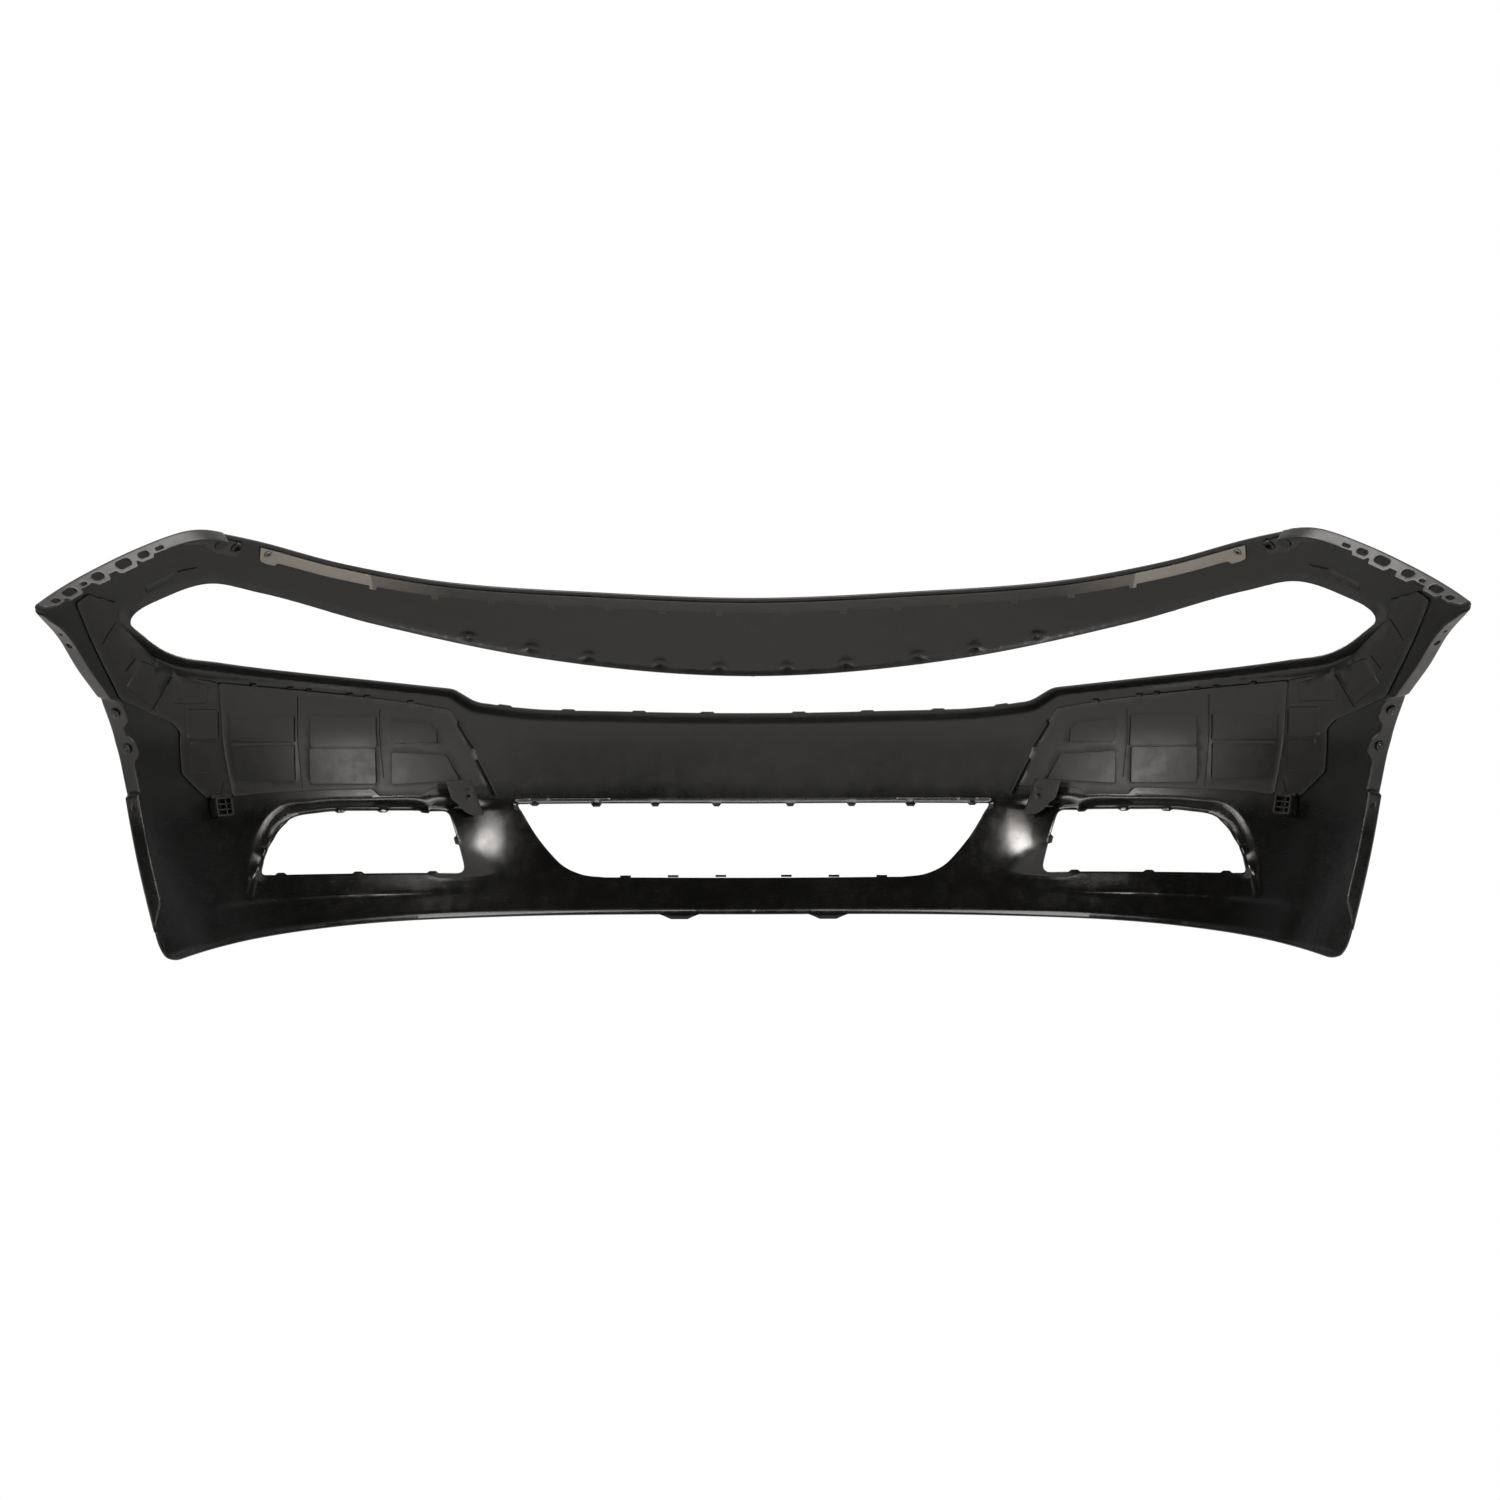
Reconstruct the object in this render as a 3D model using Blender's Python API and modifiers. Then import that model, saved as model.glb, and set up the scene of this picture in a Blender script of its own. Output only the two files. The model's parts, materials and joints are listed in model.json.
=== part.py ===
"""Front bumper cover of a saloon car, in metres, +Z up, +Y towards the front of the car.

The skin is a thin moulded sheet. It is laid out flat first, as a blank, in two coordinates: t, the
distance along the cover's plan curve from the centreline, and z, the height. The blank is cut to its
outline and openings and bent onto the curved surface. A return flange is a second blank, laid out along
its fold line and turned inwards. The supports inside the skin use the same surface, a little further in.
"""

import math

import bmesh
import bpy
import numpy as np
from mathutils import Matrix, Vector
from mathutils.geometry import delaunay_2d_cdt

# ---------------------------------------------------------------- driving dimensions, in metres
PLAN_HALF_WIDTH = 0.935  # half the width that the plan curve would reach
PLAN_DEPTH = 0.640  # how far back the plan curve would run
PLAN_SQUARENESS = 2.8  # superellipse exponent: higher gives a blunter nose
NOSE_Y = 0.32718  # foremost point of the skin
BELT_Z = 0.270  # height of the foremost point
RAKE_ABOVE = 1.9  # how fast the section falls back above the belt, per metre
TUCK_BELOW = 0.55  # the same below it
LOWER_DRAW = 0.097  # how far the skin draws in below LOWER_DRAW_Z, and how fast
LOWER_DRAW_Z = 0.30
LOWER_DRAW_POWER = 1.3
TUMBLEHOME = 1.3  # how far it draws in above TUMBLEHOME_Z
TUMBLEHOME_Z = 0.40
SKIN = 0.0030  # wall of the skin
SUPPORT_INSET = 0.0056  # from the skin's outer face to the near face of a support
SUPPORT_WALL = 0.0025  # wall of a support
STRIP_INSET = 0.0046  # from the skin's outer face to the near face of the retainer strip
STRIP_WALL = 0.0015  # wall of the retainer strip
STRIP_WIDTH = 0.015  # height of the retainer strip
STRIP_MARGIN = 0.005  # from the edge of the skin to the strip
FOLD = 0.006  # outer radius of a fold
FENDER_FLANGE = 0.032  # width of the flange under the fender, with its fold
ARCH_FLANGE = 0.027  # width of the flange in the wheel arch, with its fold
FLANGE_LEAST = 0.002  # width past the fold where a flange runs out
ARCH_FOOT = 0.040  # length over which the arch flange grows at its lower end
ARCH_TIP = 0.030  # length over which it narrows at its tip
ARCH_TIP_SHARE = 0.4  # share of its width that is left there
FENDER_START = (-0.020, 0.030)  # where the fender flange grows, along its edge from the tip
EAR = 0.012  # how far the arch flange widens round a retainer
EAR_REACH = (0.010, 0.026)  # the widening is full within the first distance and gone at the second
RETAINER_DEPTH = 0.024  # from the arch's fold line to a retainer, along the flange
FENDER_SLOT_DEPTH = 0.020  # the same for the slots of the fender flange
ARCH_HOLE_DEPTH = 0.018  # the same for the holes of the arch flange
FOG_RECESS = 0.025  # depth of the pocket round the fog lamp opening
FOG_WALL = 0.022  # width of the pocket's wall
FOG_RIM_SHARE = 0.1  # share of the wall that is a level rim round the opening
SILL_SHARE = 0.2  # share of the pocket's depth along its lower edge
SILL_Z = (0.070, 0.140)  # heights between which the pocket grows to its full depth
SILL_OUTER_T = (0.795, 0.845)  # the same along the lower edge, towards its outer corner
SILL_END_Z = (0.045, 0.080)  # below that corner it runs out between these heights
SILL_INNER_T = (0.500, 0.620)  # towards the inner corner it grows to SILL_INNER_SHARE
SILL_INNER_SHARE = 0.6
PILLAR_RECESS = 0.020  # depth of the broad trough in the pillar, beside the fog lamp opening
PILLAR_WALL = 0.148  # its width
PILLAR_T = (0.500, 0.560)  # where the trough gives way to the pocket
PILLAR_Z = 0.122  # height where the trough is deepest
PILLAR_REACH = 0.100  # how far above and below that it would run out
CEILING_Z = 0.185  # where the trough ends above
CEILING_HALF = 0.006  # half the height of the step there
CEILING_T = (0.390, 0.500)  # how far that step runs
LEDGE = 0.016  # how far the edge under the headlamps and grille turns back
LEDGE_WIDTH = 0.024  # over this width
LEDGE_START = -4  # the ledge starts this point of the headlamp opening's upper edge
LEDGE_FADE = (0.030, 0.130)  # and grows to its full depth between these distances from there
INTAKE_TURN = 0.006  # how far the top edge of the lower intake turns back
INTAKE_TURN_WIDTH = 0.008  # over this width
CELL = 0.046  # spacing of the points inside a blank
EDGE = 0.030  # spacing of the points along an outline
FINE = 0.003  # spacing used to walk along a curve
GUIDE_CLEAR = 0.0035  # least distance between the points inside a blank and its outlines
PROBE = 0.004  # half the distance over which a direction on the surface is measured
FOLD_SMOOTHING = 0.03  # a fold's direction is smoothed over this distance each way
GAP = 0.0003  # clearance between neighbouring pieces
SEAT = 0.0013  # a retainer's head stands off the arch flange, which is slightly curved

# ---------------------------------------------------------------- outlines in the blank, (t, z)
LOWER_EDGE = [(0, 0.0066), (0.434, 0.0088), (0.707, 0.0102), (0.932, 0.005), (1.058, -0.0025)]
ARCH_LOWER = [(1.058, -0.0025), (1.050, 0.131), (1.040, 0.221)]
ARCH_STEP_DOWN = [(1.040, 0.221), (1.034, 0.225)]
ARCH_MIDDLE = [(1.034, 0.225), (1.035, 0.287), (1.063, 0.367)]
ARCH_STEP_UP = [(1.063, 0.367), (1.071, 0.370)]
ARCH_UPPER = [(1.071, 0.370), (1.105, 0.406), (1.143, 0.451), (1.204, 0.488)]
FENDER_EDGE = [(1.204, 0.488), (1.049, 0.540), (0.972, 0.566), (0.902, 0.587), (0.865, 0.595)]
BONNET_EDGE = [(0.865, 0.595), (0.767, 0.580), (0.637, 0.551), (0.508, 0.5285), (0.232, 0.5075), (0, 0.499)]
LAMP_TOP = [
    (0, 0.379), (0.333, 0.409), (0.576, 0.462), (0.763, 0.510), (0.845, 0.523), (0.932, 0.501),
    (0.972, 0.486), (0.999, 0.470),
]
LAMP_BOTTOM = [
    (0.999, 0.470), (0.981, 0.456), (0.951, 0.438), (0.915, 0.424), (0.845, 0.413), (0.585, 0.380),
    (0.468, 0.3655),
]
GRILLE_STEP = [(0.468, 0.3655), (0.434, 0.3435)]
GRILLE_BOTTOM = [(0.434, 0.3435), (0.368, 0.3335), (0.211, 0.326), (0, 0.3225)]
INTAKE_TOP = [(0, 0.176), (0.381, 0.178)]
INTAKE_SIDE = [
    (0.381, 0.178), (0.352, 0.123), (0.337, 0.103), (0.318, 0.083), (0.288, 0.069), (0.250, 0.064),
]
INTAKE_BOTTOM = [(0.250, 0.064), (0.128, 0.0625), (0, 0.062)]
FOG_TOP = [(0.496, 0.169), (0.611, 0.173), (0.713, 0.174), (0.762, 0.168), (0.798, 0.144), (0.838, 0.091)]
FOG_BOTTOM = [(0.838, 0.091), (0.660, 0.084), (0.480, 0.076)]
FOG_INNER = [(0.480, 0.076), (0.496, 0.169)]
SUPPORT = [
    (0.8433, 0.379), (0.881, 0.386), (0.945, 0.410), (0.975, 0.437), (1.012, 0.468), (1.015, 0.496),
    (1.076, 0.507), (1.103, 0.495), (1.066, 0.428), (1.030, 0.361), (0.970, 0.337), (0.932, 0.323),
    (0.917, 0.308), (0.926, 0.247), (0.891, 0.210), (0.8433, 0.209),
]
LATTICE = [
    (0.8427, 0.379), (0.717, 0.364), (0.627, 0.353), (0.536, 0.340), (0.474, 0.328), (0.440, 0.267),
    (0.424, 0.207), (0.516, 0.205), (0.531, 0.196), (0.600, 0.197), (0.607, 0.208), (0.783, 0.211),
    (0.8427, 0.209),
]
WINDOWS = [
    [(0.721, 0.284), (0.830, 0.289), (0.828, 0.328), (0.719, 0.324)],
    [(0.591, 0.272), (0.698, 0.276), (0.694, 0.323), (0.589, 0.320)],
    [(0.496, 0.276), (0.567, 0.277), (0.566, 0.312), (0.505, 0.307), (0.495, 0.294)],
    [(0.731, 0.226), (0.832, 0.231), (0.830, 0.283), (0.723, 0.279)],
    [(0.601, 0.216), (0.708, 0.220), (0.700, 0.273), (0.594, 0.270)],
    [(0.467, 0.218), (0.577, 0.214), (0.570, 0.263), (0.484, 0.257)],
]
STRIP_END_T = 0.764
STRIP_END = 0.024  # length of the strip's broader end
STRIP_END_DROP = 0.005  # how much broader it is
STRIP_END_SLOPE = 0.004  # length over which it broadens
STRIP_TABS_T = (0.051, 0.138, 0.224, 0.309, 0.401, 0.491, 0.585)
TAB_DROP = 0.005  # how far a tab stands below the strip
TAB_HALF = 0.005  # half of a tab's width at its lower edge
TAB_SLOPE = 0.0005  # how much wider each side is at the strip
RIVET_AT = (0.752, 0.5665)
RIVET_HOLE = 0.0040  # radius
RIVET_COLLAR = 0.010  # radius of the ring of points round the rivet's head
BRACKET_AT = (0.463, 0.191)
BRACKET_INSET = 0.036  # from the outer face to the middle of the bracket
BRACKET_OUTLINE = [  # in the plate's own plane, from the middle of its hole
    (0.034, 0.023), (0.026, -0.005), (0.017, -0.011), (0.006, -0.023), (-0.005, -0.029),
    (-0.025, -0.028), (-0.020, -0.019), (-0.011, 0.005), (-0.005, 0.026),
]
BRACKET_HOLE = 0.0035  # radius
BRACKET_SLOT = (0.009, 0.004)  # length and width
BRACKET_SLOT_Y = 0.0115
BRACKET_WALL = 0.0030
BRACKET_WEBS = [  # middle in the plate's plane, width, height and length towards the lattice
    (0.0125, 0.0150, 0.0024, 0.0180, 0.0220), (0.0220, 0.0190, 0.0170, 0.0024, 0.0220),
]
SOCKET_AT = (0.876, 0.193)
SOCKET_INSET = 0.0181  # from the outer face to the middle of the socket
SOCKET_SIZE = (0.030, 0.028, 0.014)
SOCKET_OPENING = (0.010, 0.015, 0.030)
FENDER_SLOTS = [  # from the tip along the edge, length and width
    (0.030, 0.018, 0.010), (0.069, 0.030, 0.014), (0.106, 0.013, 0.007), (0.140, 0.024, 0.015),
    (0.197, 0.030, 0.016), (0.238, 0.021, 0.012), (0.269, 0.016, 0.007),
]
RETAINER_Z = {"upper": 0.348, "lower": 0.291}  # heights of the retainers on the arch flange
ARCH_HOLES_Z = ((0.462, 0.003), (0.446, 0.0045), (0.205, 0.0035), (0.040, 0.0035))  # height and radius
SLEEVE_HOLE = 0.0044  # radius of a retainer's hole in the flange
COLLAR = 0.0095  # radius of the ring of points round a retainer's head
SPLIT_SIZE = (0.020, 0.0014, 0.0090)  # the cut that splits a retainer's tail into two legs
SPLIT_Z = -0.0085  # its middle, along the retainer
SUPPORT_CORNER = 0.005  # how far the corners of a support are cut back
WINDOW_CORNER = 0.004  # the same for its windows
PLATE_CORNER = 0.002  # the same for the bracket's plate


# ---------------------------------------------------------------- the curved surface
_angle = np.linspace(0.0, math.pi / 2, 3001)
PLAN_X = PLAN_HALF_WIDTH * np.sin(_angle) ** (2 / PLAN_SQUARENESS)
PLAN_Y = -PLAN_DEPTH * (1 - np.cos(_angle))
PLAN_LENGTH = np.concatenate([[0.0], np.cumsum(np.hypot(np.diff(PLAN_X), np.diff(PLAN_Y)))])


def ramp(x, start, end):
    """0 before start, 1 after end, and a smooth rise between them."""
    s = np.clip((x - start) / (end - start), 0.0, 1.0)
    return s * s * (3 - 2 * s)


def width_share(z):
    """The skin draws in towards its lower edge and, with a tumblehome, towards its top."""
    below = np.clip((LOWER_DRAW_Z - z) / LOWER_DRAW_Z, 0.0, None)
    above = np.clip(z - TUMBLEHOME_Z, 0.0, None)
    return 1 - LOWER_DRAW * below**LOWER_DRAW_POWER - TUMBLEHOME * above**2


def setback(z):
    """How far the section lies behind its foremost point: it rakes back above and tucks in below."""
    return np.where(z > BELT_Z, RAKE_ABOVE, TUCK_BELOW) * (z - BELT_Z) ** 2


def smooth_surface(p):
    """Points in space of the surface without its recesses, for blank points p."""
    t, z = p[:, 0], p[:, 1]
    x = np.sign(t) * np.interp(np.abs(t), PLAN_LENGTH, PLAN_X)
    y = np.interp(np.abs(t), PLAN_LENGTH, PLAN_Y)
    return np.stack([x * width_share(z), NOSE_Y + y - setback(z), z], axis=1)


def unit(v):
    return v / np.linalg.norm(v, axis=-1, keepdims=True)


def outward(p):
    """Unit normals of the surface, pointing out of the car."""
    along = smooth_surface(p + [PROBE, 0]) - smooth_surface(p - [PROBE, 0])
    up = smooth_surface(p + [0, PROBE]) - smooth_surface(p - [0, PROBE])
    return unit(np.cross(up, along))


def nearest(line, p):
    """Distance from each blank point to a polyline, and how far along the line its nearest point is."""
    best = np.full(len(p), np.inf)
    place = np.zeros(len(p))
    passed = 0.0
    for a, b in zip(line[:-1], line[1:]):
        ab = b - a
        length = np.linalg.norm(ab)
        share = np.clip(((p - a) @ ab) / (ab @ ab), 0, 1)
        gap = np.linalg.norm(p - a - share[:, None] * ab, axis=1)
        place = np.where(gap < best, passed + share * length, place)
        best = np.minimum(best, gap)
        passed += length
    return best, place


def gap_to(line, p):
    return nearest(line, p)[0]


# ---------------------------------------------------------------- curves in the blank
def lengths(line):
    return np.concatenate([[0], np.cumsum(np.linalg.norm(np.diff(line, axis=0), axis=1))])


def at_length(line, stops):
    known = lengths(line)
    return np.stack([np.interp(stops, known, line[:, k]) for k in range(line.shape[1])], axis=1)


def smooth_curve(points, step=FINE):
    """A cubic curve through the points, sampled about every step."""
    p = np.array(points, float)
    knot = lengths(p)
    if len(p) > 2:
        slope = np.gradient(p, knot, axis=0)
        slope[p[:, 0] == 0, 1] = 0  # a curve crosses the centreline level
    else:
        slope = np.repeat((p[1:] - p[:1]) / knot[1], 2, axis=0)
    samples = []
    for i, length in enumerate(np.diff(knot)):
        s = np.linspace(0, 1, max(1, math.ceil(length / step)), endpoint=False)[:, None]
        samples.append(
            (2 * s**3 - 3 * s**2 + 1) * p[i]
            + (s**3 - 2 * s**2 + s) * length * slope[i]
            + (3 * s**2 - 2 * s**3) * p[i + 1]
            + (s**3 - s**2) * length * slope[i + 1]
        )
    return np.concatenate([*samples, p[-1:]])


def walked(line, step, skip_start=0.0, skip_end=0.0):
    """The polyline walked at an even pace, less a stretch at each end."""
    first, last = skip_start, lengths(line)[-1] - skip_end
    return at_length(line, np.linspace(first, last, max(2, math.ceil((last - first) / step) + 1)))


def corner_arc(before, corner, after, count):
    s = np.linspace(0, 1, count + 2)[1:-1, None]
    return (1 - s) ** 2 * before + 2 * s * (1 - s) * corner + s**2 * after


def rounded(runs, closed=False):
    """Runs of (cut, points, step) joined end to end; the corner at a run's start is cut back and rounded.

    It returns the points and, for each run, the slice of them that lies on it.
    """
    lines = [smooth_curve(points) for _, points, *_ in runs]
    steps = [step[0] if step else EDGE for _, _, *step in runs]
    cuts = [run[0] for run in runs] + [runs[0][0] if closed else 0.0]
    stretches = [walked(line, steps[i], cuts[i], cuts[i + 1]) for i, line in enumerate(lines)]
    joined, spans, total = [], [], 0
    for i, stretch in enumerate(stretches):
        if i and not cuts[i]:
            stretch = stretch[1:]
        joined.append(stretch)
        spans.append(slice(max(0, total - (1 if i and not cuts[i] else 0)), total + len(stretch)))
        if cuts[i + 1]:
            after = stretches[(i + 1) % len(stretches)][0]
            joined.append(corner_arc(stretch[-1], lines[i][-1], after, 3))
        total = sum(map(len, joined))
    return np.concatenate(joined), spans


def polygon(corners, cut, step=EDGE):
    """A closed outline with straight sides, each corner cut back and rounded."""
    p = np.array(corners, float)
    points = []
    for before, here, after in zip(np.roll(p, 1, axis=0), p, np.roll(p, -1, axis=0)):
        a = here + cut * unit(before - here)
        b = here + cut * unit(after - here)
        end = after + cut * unit(here - after)
        side = np.linspace(b, end, max(1, math.ceil(np.linalg.norm(end - b) / step)), endpoint=False)
        points += [a, *corner_arc(a, here, b, 1), *side]
    return np.array(points)


def ring(centre, radius, count=12):
    angles = np.arange(count) * 2 * math.pi / count
    return np.array(centre) + radius * np.stack([np.cos(angles), np.sin(angles)], axis=1)


def slot(centre, length, width, ends=4):
    """A slot with round ends, along the first coordinate."""
    angles = np.linspace(-math.pi / 2, math.pi / 2, ends + 1)
    end = width / 2 * np.stack([np.cos(angles), np.sin(angles)], axis=1) + [(length - width) / 2, 0]
    return np.array(centre) + np.concatenate([end, -end])


def inside(loop, p):
    """Which points lie inside a closed outline."""
    within = np.zeros(len(p), bool)
    for a, b in zip(loop, np.roll(loop, -1, axis=0)):
        crosses = (a[1] > p[:, 1]) != (b[1] > p[:, 1])
        rise = b[1] - a[1] if b[1] != a[1] else 1.0
        within ^= crosses & (p[:, 0] < a[0] + (p[:, 1] - a[1]) * (b[0] - a[0]) / rise)
    return within


LEDGE_LINE = rounded([
    (0, LAMP_TOP[LEDGE_START:]), (0.012, LAMP_BOTTOM), (0.008, GRILLE_STEP), (0.010, GRILLE_BOTTOM),
])[0]
INTAKE_TOP_LINE = smooth_curve(INTAKE_TOP, EDGE)
FOG_LOOP = rounded([(0.014, FOG_BOTTOM), (0.014, FOG_INNER), (0.010, FOG_TOP)], closed=True)[0]
FOG_LINE = np.concatenate([FOG_LOOP, FOG_LOOP[:1]])


# ---------------------------------------------------------------- the recessed surface
def recess(p):
    """How far the skin is set in: the fog lamp pocket and the turned edges of the front openings."""
    side = np.stack([np.abs(p[:, 0]), p[:, 1]], axis=1)
    gap = gap_to(FOG_LINE, side)
    pillar = 1 - ramp(side[:, 0], *PILLAR_T)
    outer = ramp(side[:, 0], *SILL_OUTER_T) * ramp(side[:, 1], *SILL_END_Z)
    inner = SILL_INNER_SHARE * (1 - ramp(side[:, 0], *SILL_INNER_T))
    rise = np.max([ramp(side[:, 1], *SILL_Z), outer, inner], axis=0)
    depth = FOG_RECESS * (SILL_SHARE + (1 - SILL_SHARE) * rise)
    pocket = (1 - pillar) * depth * (1 - ramp(gap, FOG_RIM_SHARE * FOG_WALL, FOG_WALL))
    trough = pillar * PILLAR_RECESS * np.clip(1 - gap / PILLAR_WALL, 0, None) ** 2
    trough *= np.clip(1 - ((side[:, 1] - PILLAR_Z) / PILLAR_REACH) ** 2, 0, None)
    trough *= 1 - ramp(side[:, 1], CEILING_Z - CEILING_HALF, CEILING_Z + CEILING_HALF)
    gap, place = nearest(LEDGE_LINE, side)
    ledge = LEDGE * ramp(place, *LEDGE_FADE) * (1 - ramp(gap, 0.0, LEDGE_WIDTH))
    rim = INTAKE_TURN * (1 - ramp(gap_to(INTAKE_TOP_LINE, side), 0.0, INTAKE_TURN_WIDTH))
    return np.max([pocket, trough, ledge, rim], axis=0)


def surface(p, inset=0.0):
    """Points in space for blank points, with the recesses, and inset further from the outer face."""
    return smooth_surface(p) - outward(p) * (recess(p) + inset)[:, None]


def turned(line, q, inset=0.0):
    """Points of a flange folded inwards along a line: q = (distance along the line, distance past it)."""
    total = lengths(line)[-1]
    p = at_length(line, q[:, 0])
    after = at_length(line, np.minimum(q[:, 0] + FOLD_SMOOTHING, total))
    before = at_length(line, np.maximum(q[:, 0] - FOLD_SMOOTHING, 0))
    way = unit(after - before)
    beyond = PROBE * np.stack([way[:, 1], -way[:, 0]], axis=1)
    normal = outward(p)
    out = smooth_surface(p + beyond) - smooth_surface(p - beyond)
    out = unit(out - normal * (out * normal).sum(axis=1, keepdims=True))
    angle = np.minimum(q[:, 1] / FOLD, math.pi / 2)[:, None]
    straight = np.maximum(q[:, 1] - FOLD * math.pi / 2, 0)[:, None]
    bent = surface(p) + FOLD * (out * np.sin(angle) - normal * (1 - np.cos(angle))) - normal * straight
    return bent - inset * unit(out * np.sin(angle) + normal * np.cos(angle))


# ---------------------------------------------------------------- blanks
def offset_points(line, distance):
    """Points beside a line, to its left when the distance is positive."""
    way = unit(np.gradient(line, axis=0))
    return line + distance * np.stack([-way[:, 1], way[:, 0]], axis=1)


def blank(outline, holes=(), cell=CELL, guides=()):
    """A flat outline with holes, filled with triangles: (points, triangles)."""
    loops = [outline, *holes]
    fixed = np.concatenate(loops)
    edges, first = [], 0
    for loop in loops:
        edges += [(first + i, first + (i + 1) % len(loop)) for i in range(len(loop))]
        first += len(loop)
    low, high = np.floor(outline.min(axis=0) / cell), np.ceil(outline.max(axis=0) / cell)
    across, up = np.meshgrid(np.arange(low[0], high[0]), np.arange(low[1], high[1]))
    grid = cell * np.stack([across + 0.5 * (up % 2), up], axis=-1)
    kept = list(fixed)
    for points, clear in [(guide, GUIDE_CLEAR) for guide in guides] + [(grid.reshape(-1, 2), 0.6 * cell)]:
        free = inside(outline, points)
        for loop in loops:
            free &= gap_to(np.concatenate([loop, loop[:1]]), points) > min(clear, GUIDE_CLEAR)
        for hole in holes:
            free &= ~inside(hole, points)
        for p in points[free]:
            if np.linalg.norm(np.array(kept) - p, axis=1).min() > clear:
                kept.append(p)
    points, _, faces, *_ = delaunay_2d_cdt([Vector(p) for p in kept], edges, [], 0, 1e-7)
    points = np.array([tuple(p) for p in points])
    faces = np.array(faces)
    middle = points[faces].mean(axis=1)
    sides = points[faces][:, 1:] - points[faces][:, :1]
    areas = np.abs(np.cross(sides[:, 0], sides[:, 1])) / 2
    keep = inside(outline, middle) & (areas > 1e-8)
    for hole in holes:
        keep &= ~inside(hole, middle)
    return points, faces[keep]


def flange_blank(line, width, holes=(), guides=()):
    """The blank of a flange along a fold line. width gives its width at each distance along the line."""
    s = lengths(line)
    bends = (FOLD * math.pi / 4, FOLD * math.pi / 2)
    edge = np.array([(x, width(x)) for x in s[::-1]])
    ends = [[(s[-1], bend) for bend in bends], [(0, bend) for bend in bends[::-1]]]
    outline = np.concatenate([np.stack([s, 0 * s], axis=1), ends[0], edge, ends[1]])
    rows = [np.stack([s, 0 * s + bend], axis=1) for bend in bends]
    return blank(outline, holes, guides=[*rows, *guides])


# ---------------------------------------------------------------- objects and materials
def clear_scene():
    for obj in list(bpy.data.objects):
        bpy.data.objects.remove(obj, do_unlink=True)


def new_collection(name):
    collection = bpy.data.collections.new(name)
    bpy.context.scene.collection.children.link(collection)
    return collection


def material(name, colour, roughness, metallic=0.0):
    made = bpy.data.materials.new(name)
    made.use_nodes = True
    shader = made.node_tree.nodes["Principled BSDF"]
    shader.inputs["Base Color"].default_value = (*colour, 1.0)
    shader.inputs["Roughness"].default_value = roughness
    shader.inputs["Metallic"].default_value = metallic
    return made


def add_object(name, mesh, finish, collection):
    obj = bpy.data.objects.new(name, mesh)
    if finish:
        mesh.materials.append(finish)
    collection.objects.link(obj)
    return obj


def sheet(name, patches, wall, finish, mirrored=False):
    """A moulded sheet from patches of (points, triangles) that meet along shared points."""
    bm = bmesh.new()
    for points, triangles in patches:
        verts = [bm.verts.new(p) for p in points]
        for triangle in triangles:
            bm.faces.new([verts[i] for i in triangle])
    bmesh.ops.remove_doubles(bm, verts=bm.verts, dist=1e-5)
    bmesh.ops.delete(bm, geom=[v for v in bm.verts if not v.link_faces], context="VERTS")
    bmesh.ops.recalc_face_normals(bm, faces=bm.faces)
    if sum(face.normal.y * face.calc_area() for face in bm.faces) < 0:
        bmesh.ops.reverse_faces(bm, faces=bm.faces)
    mesh = bpy.data.meshes.new(name)
    bm.to_mesh(mesh)
    bm.free()
    obj = add_object(name, mesh, finish, PARTS)
    if mirrored:
        mirror = obj.modifiers.new("both_sides", "MIRROR")
        mirror.use_axis = (True, False, False)
        mirror.merge_threshold = 0.0001
    shell = obj.modifiers.new("wall", "SOLIDIFY")
    shell.thickness = wall
    shell.offset = -1
    shell.use_even_offset = True
    shell.use_quality_normals = True
    return obj


def turned_piece(name, profile, place, finish, steps=14):
    """A turned piece: a profile of (radius, height) spun round its local Z axis."""
    mesh = bpy.data.meshes.new(name)
    points = [(radius, 0.0, height) for radius, height in profile]
    open_ended = profile[0][0] == 0
    last = len(points) - 1
    mesh.from_pydata(points, [(i, i + 1) for i in range(last)] + ([] if open_ended else [(last, 0)]), [])
    obj = add_object(name, mesh, finish, PARTS)
    screw = obj.modifiers.new("turn", "SCREW")
    screw.steps = steps
    screw.render_steps = steps
    screw.use_merge_vertices = True
    screw.merge_threshold = 1e-5
    screw.use_smooth_shade = True
    obj.matrix_world = place
    return obj


def plate(name, outlines, thickness, place, finish):
    """A flat plate with holes from closed outlines, centred on its local XY plane."""
    curve = bpy.data.curves.new(name, "CURVE")
    curve.dimensions = "2D"
    curve.fill_mode = "BOTH"
    curve.extrude = thickness / 2
    for outline in outlines:
        spline = curve.splines.new("POLY")
        spline.points.add(len(outline) - 1)
        for point, (x, y) in zip(spline.points, outline):
            point.co = (x, y, 0, 1)
        spline.use_cyclic_u = True
    guide = bpy.data.objects.new(name + "_outline", curve)
    PARTS.objects.link(guide)
    bpy.context.view_layer.update()
    mesh = bpy.data.meshes.new_from_object(guide.evaluated_get(bpy.context.evaluated_depsgraph_get()))
    bpy.data.objects.remove(guide, do_unlink=True)
    bm = bmesh.new()
    bm.from_mesh(mesh)
    bmesh.ops.remove_doubles(bm, verts=bm.verts, dist=1e-5)
    bm.to_mesh(mesh)
    bm.free()
    mesh.name = name
    mesh.materials.clear()
    obj = add_object(name, mesh, finish, PARTS)
    obj.matrix_world = place
    return obj


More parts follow.
